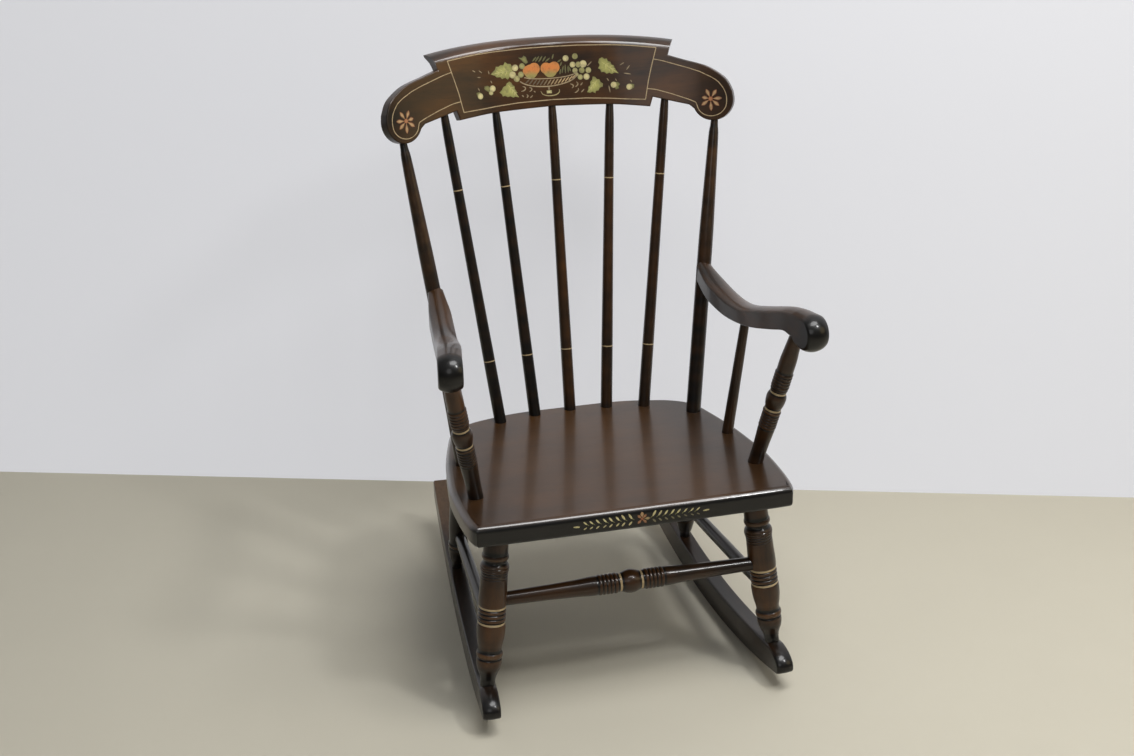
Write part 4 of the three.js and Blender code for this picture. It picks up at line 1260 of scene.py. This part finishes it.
class CHAIR_OT_rockers(bpy.types.Operator):
    """Adds the two rockers"""

    bl_idname = "chair.rockers"
    bl_label = "Rockers"

    def execute(self, context):
        for hand, side in SIDES.items():
            board = plank(rocker_rim(), ROCKER_WIDTH, ROCKER_EDGE, ROCKER_CROWN)
            slice_board(board, -ROCKER_FRONT, ROCKER_REAR, ROCKER_SLICE)
            plank_piece(f"rocker_{hand}", board, lambda y, h, z, side=side: rocker_point(side, y, h, z),
                        frame_wood(), dark=rocker_shade, wear=rocker_wear)
        return {"FINISHED"}


def rocker_shade(point, _):
    """Blackest at the nose, and brown towards the rear end, where the brown is part of a painted reflection.
    """
    nose, middle, rear = ROCKER_BLACKS
    front = lerp(nose, middle, smoothstep(point.x, *ROCKER_NOSE_FADE))
    return lerp(front, rear, smoothstep(point.x, *ROCKER_BROWN_FADE))


def rocker_wear(point, _):
    """Paler towards the rear end: a painted reflection of the pale wall, mixed in as the rubbed brown."""
    return ROCKER_REAR_REFLECTION * smoothstep(point.x, *ROCKER_REFLECTION_FADE)


def rocker_point(side, y, height, across):
    """A point of a rocker: back along it, up, and across its width."""
    out = across - ROCKER_WIDTH / 2
    toe = side * ROCKER_TOE
    x = out * math.cos(toe) - y * math.sin(toe)
    back = out * math.sin(toe) + y * math.cos(toe)
    return place(side * rocker_spread(0) + x, back, height)


# Painted ornament

# The stripe round the middle panel and the stripe that follows each ear, in arc and height
PANEL_STRIPE = [(0, 103.3), (50, 102.6), (100, 100), (130, 97.3), (150, 94.7), (186.5, 89), (180.5, 70),
                (175, 52), (170.2, 35), (166.5, 18), (163, 2), (130, 5), (100, 8.4), (60, 11.6), (0, 13)]
EAR_STRIPE = [(180.5, 70), (190, 67.5), (200, 64.5), (220, 57.5), (240, 50.5), (250, 46.5), (260, 42.5),
              (270, 37), (280, 31.5), (290, 24), (296, 16.5), (300, 10), (303, 2), (304, -5), (303.2, -15),
              (300, -23), (292, -30.5), (282, -34), (272, -34), (262, -30), (255, -23), (252, -15),
              (250, -9.5), (245, -6.5), (235, -2), (225, 2), (210, 8), (200, 11.5), (190, 15), (180, 18),
              (166.8, 20.3)]
ROSETTE_CENTRE = (276, -5)
ROSETTE_PETALS = [(112, 17.5), (54, 18), (0, 19), (-42, 18.5), (-90, 20), (-148, 18.5), (166, 14.5)]

# Stencil on the middle panel: leaves, berries as (arc, height, radius, tone), the two lobes of each
# fruit as (arc, height, radius), the bowl, and gold strokes
BIG_LEAVES = [
    [(-108, 62.5), (-103, 67), (-99.5, 70), (-97.5, 75), (-93, 74.6), (-89, 77), (-84, 76.5), (-80.5, 82),
     (-76.5, 78.5), (-71, 78), (-67, 71), (-68, 64), (-72, 58), (-78, 52), (-82, 55.5), (-88, 53.6),
     (-91, 57), (-97, 56.8), (-101, 60)],
    [(-75, 48.5), (-71.5, 46), (-69.5, 42), (-66.5, 40), (-66.5, 34), (-63.5, 31), (-63.5, 26.5),
     (-59.5, 20.5), (-66, 22.5), (-70, 21), (-75, 23.5), (-80, 22.6), (-85, 25), (-89, 24), (-90.5, 28),
     (-94.5, 31), (-90, 35), (-87, 40), (-82, 42), (-80, 46)],
    [(87, 77), (92, 79), (95.5, 76), (100, 76.5), (101.5, 71.5), (106, 70.5), (107.5, 65.5), (111.5, 64),
     (112.5, 58.5), (119.5, 49.5), (112, 51.8), (107, 49.5), (103, 52), (98, 50.4), (94, 54), (89, 53.8),
     (87.5, 58.5), (83.5, 60.5), (87, 66), (84.5, 71)],
    [(73.5, 47.5), (77.5, 46.5), (80.5, 42.5), (84.5, 42), (86.5, 37), (90.5, 34.5), (89.5, 29),
     (84.5, 27.5), (82, 23), (77.5, 22.6), (76, 18.5), (71.5, 21.8), (67, 19.8), (61.5, 21.5), (64.5, 26),
     (64.5, 30.5), (68.5, 33), (68.5, 38.5), (72, 42)],
]
LEAF_SPINES = [((-106, 62.8), (-69, 67)), ((-61, 22), (-78, 43)), ((117, 51), (91, 71)),
               ((64, 22.5), (81, 41))]
SMALL_LEAVES = [
    [(-56, 88), (-50, 87), (-46, 90.5), (-42, 88), (-41, 83), (-39, 79), (-43, 76.5), (-47, 79),
     (-50, 82.5)],
    [(-121, 43), (-115, 44), (-111, 41), (-111, 36), (-114, 33), (-119, 36), (-122, 39)],
    [(112, 35.5), (117, 35), (120.5, 31), (117, 28), (118, 24), (112, 22.5), (110.5, 28)],
    [(-137, 33), (-131, 34.5), (-127, 31), (-130, 27), (-136, 28)],
    [(139, 31), (145, 29), (144, 23), (138, 21), (136, 26)],
]
BERRIES = [(-63, 71, 5.6, 0.95), (-68.5, 59.5, 6, 0.8), (-61.5, 52.5, 5.4, 0.4), (-50.5, 73, 5, 0.18),
           (-53.5, 59, 5.2, 0.25), (28, 81.5, 5.3, 0.85), (44.5, 84, 5, 0.15), (39.5, 70, 5, 0.8),
           (49.5, 69.5, 5, 0.3), (58, 70, 6.2, 1), (43, 60, 4.6, 0.45), (55, 59.5, 5, 0.12),
           (66.5, 58.8, 5, 0.4), (51.5, 48, 4.6, 0.35), (62.5, 48, 5.4, 0.9), (46, 52.8, 3, 0.4),
           (-106.5, 38.5, 5.4, 0.95), (-110, 31.5, 3.8, 0.55), (-130, 27, 5, 0.9), (109, 30.8, 5.2, 0.95),
           (136, 25.5, 5.2, 0.95)]
FRUIT_LOBES = [((-41.5, 65, 8), (-29, 67.5, 10)), ((-8, 67, 9.6), (6.5, 67.5, 9.8))]
FRUIT_BASE = 51.5
FRUIT_MIDDLE = 63
FRUIT_LEAST_REACH = 12
FRUIT_FACETS = 44
FRUIT_STEPS = (1, 0.8, 0.6, 0.4, 0.2, 0.07)
BOWL_RIM = [(-48, 53.5), (-38, 51.2), (-25, 50), (-8, 49.4), (10, 49.6), (27, 51), (40, 53.8), (47, 56.3)]
BOWL_FOOT = [(-56, 47.5), (-50, 43.5), (-42, 40.4), (-32, 38), (-20, 36.6), (-6, 36), (8, 37), (20, 39),
             (31, 42), (40, 46.4), (47.5, 52.5)]
BOWL_STAVES = 14
BOWL_STAVE_ENDS = (-46, 37)
PEDESTAL = [(-20, 28.5), (-17, 23.5), (-11, 20.8), (-3, 19.8), (5, 20.6), (10.5, 22.8), (13.4, 26.5),
            (12.6, 30)]
PEDESTAL_STEM = [(-5, 34.5), (-5, 30)]
PEDESTAL_BLOCK = [(-9.5, 24), (-0.5, 24), (-0.5, 29), (-9.5, 29)]
SQUIGGLES = [
    [(-52, 38.5), (-48, 37.5), (-47, 34.5), (-50, 31.5), (-55, 30.5)],
    [(-40, 36), (-36.5, 35), (-36, 32), (-40, 29)],
    [(-32.5, 29.5), (-29.5, 27.5)],
    [(-54, 24), (-51, 21)],
    [(-45.5, 25), (-43.5, 22), (-46, 19)],
    [(-35, 22.5), (-39.5, 18.5)],
    [(33, 37.5), (37, 36), (38.5, 33), (35.5, 30)],
    [(44, 40.5), (46.5, 37.5), (45, 34), (41.5, 32)],
    [(55, 38.5), (51, 34)],
    [(47, 29.5), (46.5, 26), (43, 23), (40, 22)],
    [(57, 27), (51.5, 22)],
]
STROKES = [((-129, 70), (-124, 66)), ((-112, 69), (-111, 63)), ((-133, 59), (-127, 58.5)),
           ((-109, 52), (-107, 47.5)), ((122, 63.5), (129.5, 67.5)), ((133, 55), (139, 62)),
           ((128, 49.5), (140, 47)), ((98, 43), (101, 38)), ((112.5, 41), (115, 37)),
           ((100.5, 30), (102, 18.5)), ((139, 37), (141, 33)), ((65, 66), (73, 73)),
           ((-141, 71), (-136, 68)), ((-133, 41), (-131, 36))]
FOLIAGE = [((-31, 80), (-24, 87)), ((-26, 79), (-19, 88)), ((-20, 78.5), (-13, 88)), ((-13, 79), (-7, 87)),
           ((-8, 78), (0, 84)), ((4, 82), (7, 90)), ((13, 76), (20, 80)), ((17, 69), (21, 76)),
           ((20, 57), (23, 69)), ((26, 56), (26.5, 71)), ((31, 57), (31.5, 69)), ((16, 55), (18, 64)),
           ((35, 59), (33.5, 66))]

# Widths of the brush strokes
BRUSHES = {"spine": 0.9, "vein": 0.7, "foliage": 2.6, "squiggle": 2, "stroke": 1.7, "bowl rim": 1.5,
           "bowl foot": 1.9, "stave": 2.2, "stem": 3, "pedestal": 1.8}

# Leaf spray of the seat: its middle across and down, the leaves to each side, and its reach
SPRAY_CENTRE = (5, -19)
SPRAY_LEAVES = 8
SPRAY_REACH = 106


def crest_surface(arc, height, lift):
    """The crest board's front face, in arc and height."""
    return bend_point(arc, height, -lift)


class CHAIR_OT_crest_paint(bpy.types.Operator):
    """Adds the stripes, rosettes and fruit stencil of the crest board"""

    bl_idname = "chair.crest_paint"
    bl_label = "Crest ornament"

    def execute(self, context):
        sizes, colours = settings()
        width = sizes.stripe_width / MM
        stripes, rosettes, stencil = (Paint(crest_surface) for _ in range(3))
        for side in SIDES.values():
            panel = [(side * a, b) for a, b in PANEL_STRIPE]
            for part, layer in ((panel[:6], 0), (panel[5:11], 1), (panel[10:], 0)):
                stripes.line(part, width, colours.gold, layer)
            ear = curve_through([(side * a, b) for a, b in EAR_STRIPE], 110)
            stripes.line(ear, width * 0.9, colours.gold, spacing=3)
            paint_rosette(rosettes, side, colours)
        paint_stencil(stencil, colours)
        stripes.finish("crest_stripes")
        rosettes.finish("crest_rosettes")
        stencil.finish("crest_fruit")
        return {"FINISHED"}


def paint_rosette(paint, side, colours):
    """Seven pale petals, each over its dark shadow, round a rust heart."""
    a, b = ROSETTE_CENTRE[0] * side, ROSETTE_CENTRE[1]
    dim = blend(colours.rust, colours.stain, 0.55)
    rim = blend(colours.petal, colours.rust, 0.4)
    for degrees, reach in ROSETTE_PETALS:
        angle = math.radians(degrees if side > 0 else 180 - degrees)
        paint.blob(petal(a, b, angle, 2, reach + 1.2, 7.2, 9), dim, dim, 0, (1, 0.4))
        paint.blob(petal(a, b, angle, 3.6, reach, 4.6, 9), rim, colours.petal, 1)
    paint.blob(circle(a, b, 3.8, 12), colours.rust, blend(colours.rust, colours.petal, 0.5), 2)


def paint_stencil(paint, colours):
    """Leaves, fruit and berries over a bowl, with strokes round them."""
    stain, gold, leaf = colours.stain, colours.gold, colours.leaf
    vein = blend(leaf, colours.berry, 0.45)
    for outline, spine in zip(BIG_LEAVES, LEAF_SPINES):
        paint.blob(outline, blend(leaf, stain, 0.45), leaf)
        paint.stroke(spine, BRUSHES["spine"], vein, 1, 3)
        paint_veins(paint, spine, vein)
    for outline in SMALL_LEAVES:
        paint.blob(outline, blend(leaf, stain, 0.75), blend(leaf, stain, 0.4))
    for path in FOLIAGE:
        paint.stroke(path, BRUSHES["foliage"], blend(leaf, stain, 0.72), 0)
    for lobes in FRUIT_LOBES:
        paint_fruit(paint, lobes, colours)
    for a, b, radius, tone in BERRIES:
        heart = blend(blend(leaf, stain, 0.3), colours.berry, tone)
        paint.blob(circle(a, b, radius), blend(heart, stain, 0.4), heart, 3)
    paint_bowl(paint, colours)
    for path in SQUIGGLES:
        smooth = curve_through(path, 10) if len(path) > 2 else path
        paint.stroke(smooth, BRUSHES["squiggle"], blend(gold, stain, 0.25), 1, 1.5)
    for path in STROKES:
        paint.stroke(path, BRUSHES["stroke"], blend(gold, stain, 0.3))


def paint_veins(paint, spine, colour):
    """Three pairs of side veins that slant back from a leaf's spine."""
    root, tip = (Vector(point) for point in spine)
    along = tip - root
    side = Vector((-along.y, along.x))
    for step in (0.25, 0.45, 0.65):
        for sign in (-1, 1):
            start = root + along * (step + 0.12)
            end = start - along * 0.16 + side * sign * (0.1 + 0.14 * step)
            paint.stroke([tuple(start), tuple(end)], BRUSHES["vein"], colour)


def paint_fruit(paint, lobes, colours):
    """Two round lobes over a straight base that fades to green."""
    centre = Vector((sum(lobe[0] for lobe in lobes) / 2, FRUIT_MIDDLE))
    outline = []
    for i in range(FRUIT_FACETS):
        angle = math.tau * i / FRUIT_FACETS
        out = Vector((math.cos(angle), math.sin(angle)))
        reach = FRUIT_LEAST_REACH
        for a, b, radius in lobes:
            offset = Vector((a, b)) - centre
            along = offset.dot(out)
            gap = radius ** 2 - (offset - out * along).length_squared
            if gap > 0:
                reach = max(reach, along + math.sqrt(gap))
        point = centre + out * reach
        outline.append((point.x, max(point.y, FRUIT_BASE)))
    green = blend(colours.leaf, colours.stain, 0.35)
    start = len(paint.points)
    paint.blob(outline, blend(colours.fruit, green, 0.25), colours.fruit, 2, FRUIT_STEPS)
    shape = clean_outline(outline)
    for level, share in enumerate((1, *FRUIT_STEPS)):
        for i, (_, b) in enumerate(shape, start + level * len(shape)):
            low = smoothstep(62 - lerp(60, b, share), -2, 8)
            paint.colours[i] = blend(paint.colours[i], green, low * 0.9)


def paint_bowl(paint, colours):
    """A bowl of slanting staves on a pedestal."""
    gold = blend(colours.gold, colours.stain, 0.15)
    dark = blend(gold, colours.stain, 0.7)
    paint.line(curve_through(BOWL_RIM, 30), BRUSHES["bowl rim"], gold, 3, 3)
    paint.line(curve_through(BOWL_FOOT, 36), BRUSHES["bowl foot"], gold, 3, 3)
    for i in range(BOWL_STAVES):
        a = lerp(*BOWL_STAVE_ENDS, i / (BOWL_STAVES - 1))
        low = between(BOWL_FOOT, a) + 1.8
        high = between(BOWL_RIM, clamp(a + 6, BOWL_RIM[0][0], BOWL_RIM[-1][0])) - 1.4
        colour = blend(dark, colours.petal, smoothstep(a, -25, 15))
        paint.stroke([(a, low), (a + 7.5, lerp(low, high, 0.95))], BRUSHES["stave"], colour, 2, 1.5)
    block = blend(colours.berry, colours.leaf, 0.3)
    paint.line(PEDESTAL_STEM, BRUSHES["stem"], blend(gold, colours.stain, 0.4), 1, 2)
    paint.blob(PEDESTAL_BLOCK, blend(block, colours.stain, 0.3), block, 3)
    paint.stroke(curve_through(PEDESTAL, 24), BRUSHES["pedestal"], blend(gold, colours.leaf, 0.3), 2)


class CHAIR_OT_seat_paint(bpy.types.Operator):
    """Adds the leaf spray on the seat's front edge"""

    bl_idname = "chair.seat_paint"
    bl_label = "Seat ornament"

    def execute(self, context):
        colours = settings()[1]
        pale, stain = colours.berry, colours.stain
        paint = Paint(seat_front_surface)
        centre, level = SPRAY_CENTRE
        for side in SIDES.values():
            bright, dimmer = (0, 0.3) if side < 0 else (0.12, 0.78)
            for i in range(SPRAY_LEAVES):
                a = centre + side * (20 + 10.5 * i + random.uniform(-0.8, 0.8))
                tip = 1 - 0.05 * i + random.uniform(-0.06, 0.06)
                fade = bright + 0.15 * random.random()
                upper = [(a + side * 2, level + 11 * tip), (a - side * 3.2, level + 2.5)]
                lower = [(a + side * 2, level - 8 * tip), (a - side * 3, level - 2.5)]
                stem = [(a - side * 2, level + 4), (a - side * 7, level)]
                paint.stroke(upper, 3.3 * tip, blend(pale, stain, fade), 1, 1.5)
                paint.stroke(lower, 2.9 * tip, blend(pale, stain, dimmer), 1, 1.5)
                paint.stroke(stem, 1.2, blend(colours.leaf, stain, 0.6), 0)
            end = centre + side * SPRAY_REACH
            paint.stroke([(end - side * 5, level), (end + side * 5, level + 1)], 2.8,
                         blend(pale, stain, 0.25 + bright), 1, 1.5)
        paint_flower(paint, centre, level, colours)
        paint.finish("seat_spray")
        return {"FINISHED"}


def paint_flower(paint, a, b, colours):
    """Four rust petals, a pale one upwards and one to the right, round a rust heart."""
    rust = blend(colours.rust, colours.petal, 0.2)
    for degrees in (45, 135, 225, 315):
        paint.blob(petal(a, b, math.radians(degrees), 1, 10, 4.2, 8), rust,
                   blend(rust, colours.petal, 0.35), 1)
    paint.blob(petal(a, b, math.radians(90), 2, 12, 5.4, 9), blend(rust, colours.petal, 0.5),
               colours.petal, 2)
    paint.blob(petal(a, b, 0, 3, 13, 4.6, 9), blend(colours.petal, colours.stain, 0.4),
               blend(colours.petal, colours.leaf, 0.4), 2)
    paint.blob(circle(a, b, 2.2, 10), colours.rust, colours.rust, 3)


def seat_front_surface(x, height, lift):
    """The seat's bowed front edge: across and up from its top."""
    corner = SEAT_OUTLINE_SHARES[-1][0] * SEAT_HALF_WIDTH
    bow = SEAT_BOW * math.sqrt(max(0, 1 - (x / corner) ** 2))
    return seat_point(x, -bow - lift, -height)


# Stage

# Floor and wall in metres. The wall meets the floor behind the chair, at a slant to it.
FLOOR_CORNERS = [(-7, -6, 0), (7, -6, 0), (7, 7, 0), (-7, 7, 0)]
WALL_DISTANCE = 0.502
WALL_SLANT = -0.331
WALL_REACH = 6
WALL_HEIGHT = 5

# Light of the room, low down and overhead, and between which heights of the view it rises
ROOM_COLOUR = (0.96, 0.98, 1)
ROOM_LOW = 0.1
ROOM_HIGH = 0.36
ROOM_RISE = (0.05, 0.9)

# Lamps: name, place, where it points, size, power in watts, colour
LAMPS = [
    ("overhead", (0.5, -1.0, 3.2), (0.2, 0, 0), (1.9, 1.2), 62, (1, 1, 1)),
    ("front_right", (1.2, -1.7, 2.7), (0, 0, 0.4), (0.4, 0.4), 26, (1, 1, 1)),
    ("front", (-1.0, -3.0, 2.1), (0, 0, 0.5), (1.5, 1.5), 8.5, (1, 1, 1)),
    ("warm_side", (2.1, -1.7, 1.6), (0, 0, 0.7), (1.5, 1.5), 7, (1, 0.8, 0.45)),
]

# Camera: its place in metres, its turn, tip and roll in degrees, sensor and lens in millimetres
CAMERA_PLACE = (-0.6273, -2.4127, 1.5466)
CAMERA_TURN_TIP_ROLL = (-13.84, 23.61, -0.76)
CAMERA_SENSOR = 36
CAMERA_LENS = 50


class CHAIR_OT_stage(bpy.types.Operator):
    """Adds the pale floor and wall, the soft light and the camera"""

    bl_idname = "chair.stage"
    bl_label = "Stage"

    def execute(self, context):
        colours = settings()[1]
        self.add_floor(colours)
        self.add_wall(colours)
        self.add_world()
        for row in LAMPS:
            self.add_lamp(*row)
        self.add_camera()
        return {"FINISHED"}

    def add_floor(self, colours):
        finish = new_finish("pale_floor")
        clouds = finish.noise(finish.coordinates(), FLOOR_SCALE, 6, 0.6)
        dim = [part * 0.93 for part in colours.floor]
        finish.set(Base_Color=finish.mix(clouds, dim, colours.floor), Roughness=0.75)
        floor = sheet("floor", FLOOR_CORNERS, finish)

    def add_wall(self, colours):
        """A pale backdrop that is only there from its front."""
        finish = new_finish("pale_wall")
        finish.set(Base_Color=colours.wall, Roughness=0.8)
        flat = finish.node("ShaderNodeEmission", {}, colours.wall, 1.0)
        ray = finish.node("ShaderNodeLightPath", {}, out="Is Camera Ray")
        seen = (ray + ray.output("Is Glossy Ray") + ray.output("Is Transmission Ray")).clamped() * 0.6
        front = finish.node("ShaderNodeMixShader", {}, seen, finish.shader, flat)
        behind = finish.node("ShaderNodeNewGeometry", {}, out="Backfacing")
        clear = finish.node("ShaderNodeBsdfTransparent", {})
        finish.show(finish.node("ShaderNodeMixShader", {}, behind, front, clear))
        low, high = ((x, WALL_DISTANCE + x * WALL_SLANT) for x in (-WALL_REACH, WALL_REACH))
        wall = sheet("wall", [(*low, 0), (*high, 0), (*high, WALL_HEIGHT), (*low, WALL_HEIGHT)], finish)

    def add_world(self):
        """A pale room that is brighter overhead."""
        finish = Finish(bpy.data.worlds.new("pale_room"))
        finish.set(Color=ROOM_COLOUR, Strength=ROOM_LOW)
        high = finish.node("ShaderNodeBackground", {}, ROOM_COLOUR, ROOM_HIGH)
        height = finish.node("ShaderNodeSeparateXYZ", {}, finish.coordinates("Generated"), out="Z")
        rise = height.between(*ROOM_RISE)
        finish.show(finish.node("ShaderNodeMixShader", {}, rise, finish.shader, high))
        bpy.context.scene.world = finish.owner

    def add_lamp(self, name, spot, target, size, power, colour):
        data = bpy.data.lights.new(name, "AREA")
        data.shape = "ELLIPSE"
        data.size, data.size_y = size
        data.energy = power
        data.color = colour
        lamp = add_object(name, data)
        lamp.location = spot
        lamp.rotation_euler = (Vector(target) - Vector(spot)).to_track_quat("-Z", "Y").to_euler()

    def add_camera(self):
        """The photograph's view: where it stands, turned, tipped and rolled."""
        turn, tip, roll = (math.radians(degrees) for degrees in CAMERA_TURN_TIP_ROLL)
        ahead = Vector((-math.sin(turn) * math.cos(tip), math.cos(turn) * math.cos(tip), -math.sin(tip)))
        right = Vector((math.cos(turn), math.sin(turn), 0))
        up = right.cross(ahead)
        rolled_right = right * math.cos(roll) + up * math.sin(roll)
        rolled_up = up * math.cos(roll) - right * math.sin(roll)
        data = bpy.data.cameras.new("camera")
        data.sensor_width, data.lens = CAMERA_SENSOR, CAMERA_LENS
        camera = add_object("camera", data)
        turned_to = Matrix((rolled_right, rolled_up, -ahead)).transposed().to_4x4()
        camera.matrix_world = Matrix.Translation(CAMERA_PLACE) @ turned_to
        bpy.context.scene.camera = camera
        bpy.context.scene.view_settings.view_transform = "Standard"


def sheet(name, corners, finish):
    """A flat face of the stage."""
    mesh = bpy.data.meshes.new(name)
    mesh.from_pydata(corners, [], [(0, 1, 2, 3)])
    mesh.materials.append(finish.owner)
    return add_object(name, mesh)


class CHAIR_PT_panel(bpy.types.Panel):
    """Lists the chair's pieces, sizes and colours"""

    bl_idname = "CHAIR_PT_panel"
    bl_label = "Rocking chair"
    bl_space_type = "VIEW_3D"
    bl_region_type = "UI"
    bl_category = "Chair"

    def draw(self, context):
        for group in settings():
            for name in group.__annotations__:
                self.layout.prop(group, name)
        for piece in PIECES:
            self.layout.operator(piece.bl_idname)


PIECES = (CHAIR_OT_stage, CHAIR_OT_seat, CHAIR_OT_crest, CHAIR_OT_back_spindles, CHAIR_OT_arms,
          CHAIR_OT_arm_supports, CHAIR_OT_legs, CHAIR_OT_rockers, CHAIR_OT_crest_paint, CHAIR_OT_seat_paint)
CLASSES = (ChairColours, ChairSizes, *PIECES, CHAIR_PT_panel)


def register():
    for item in CLASSES:
        bpy.utils.register_class(item)
    bpy.types.Scene.chair_colours = PointerProperty(type=ChairColours)
    bpy.types.Scene.chair_sizes = PointerProperty(type=ChairSizes)


def unregister():
    del bpy.types.Scene.chair_sizes
    del bpy.types.Scene.chair_colours
    for item in reversed(CLASSES):
        bpy.utils.unregister_class(item)


def main():
    random.seed(7)
    register()
    bpy.ops.chair.stage()
    bpy.ops.chair.seat()
    bpy.ops.chair.crest()
    bpy.ops.chair.back_spindles()
    bpy.ops.chair.arms()
    bpy.ops.chair.arm_supports()
    bpy.ops.chair.legs()
    bpy.ops.chair.rockers()
    bpy.ops.chair.crest_paint()
    bpy.ops.chair.seat_paint()


if __name__ == "__main__":
    main()
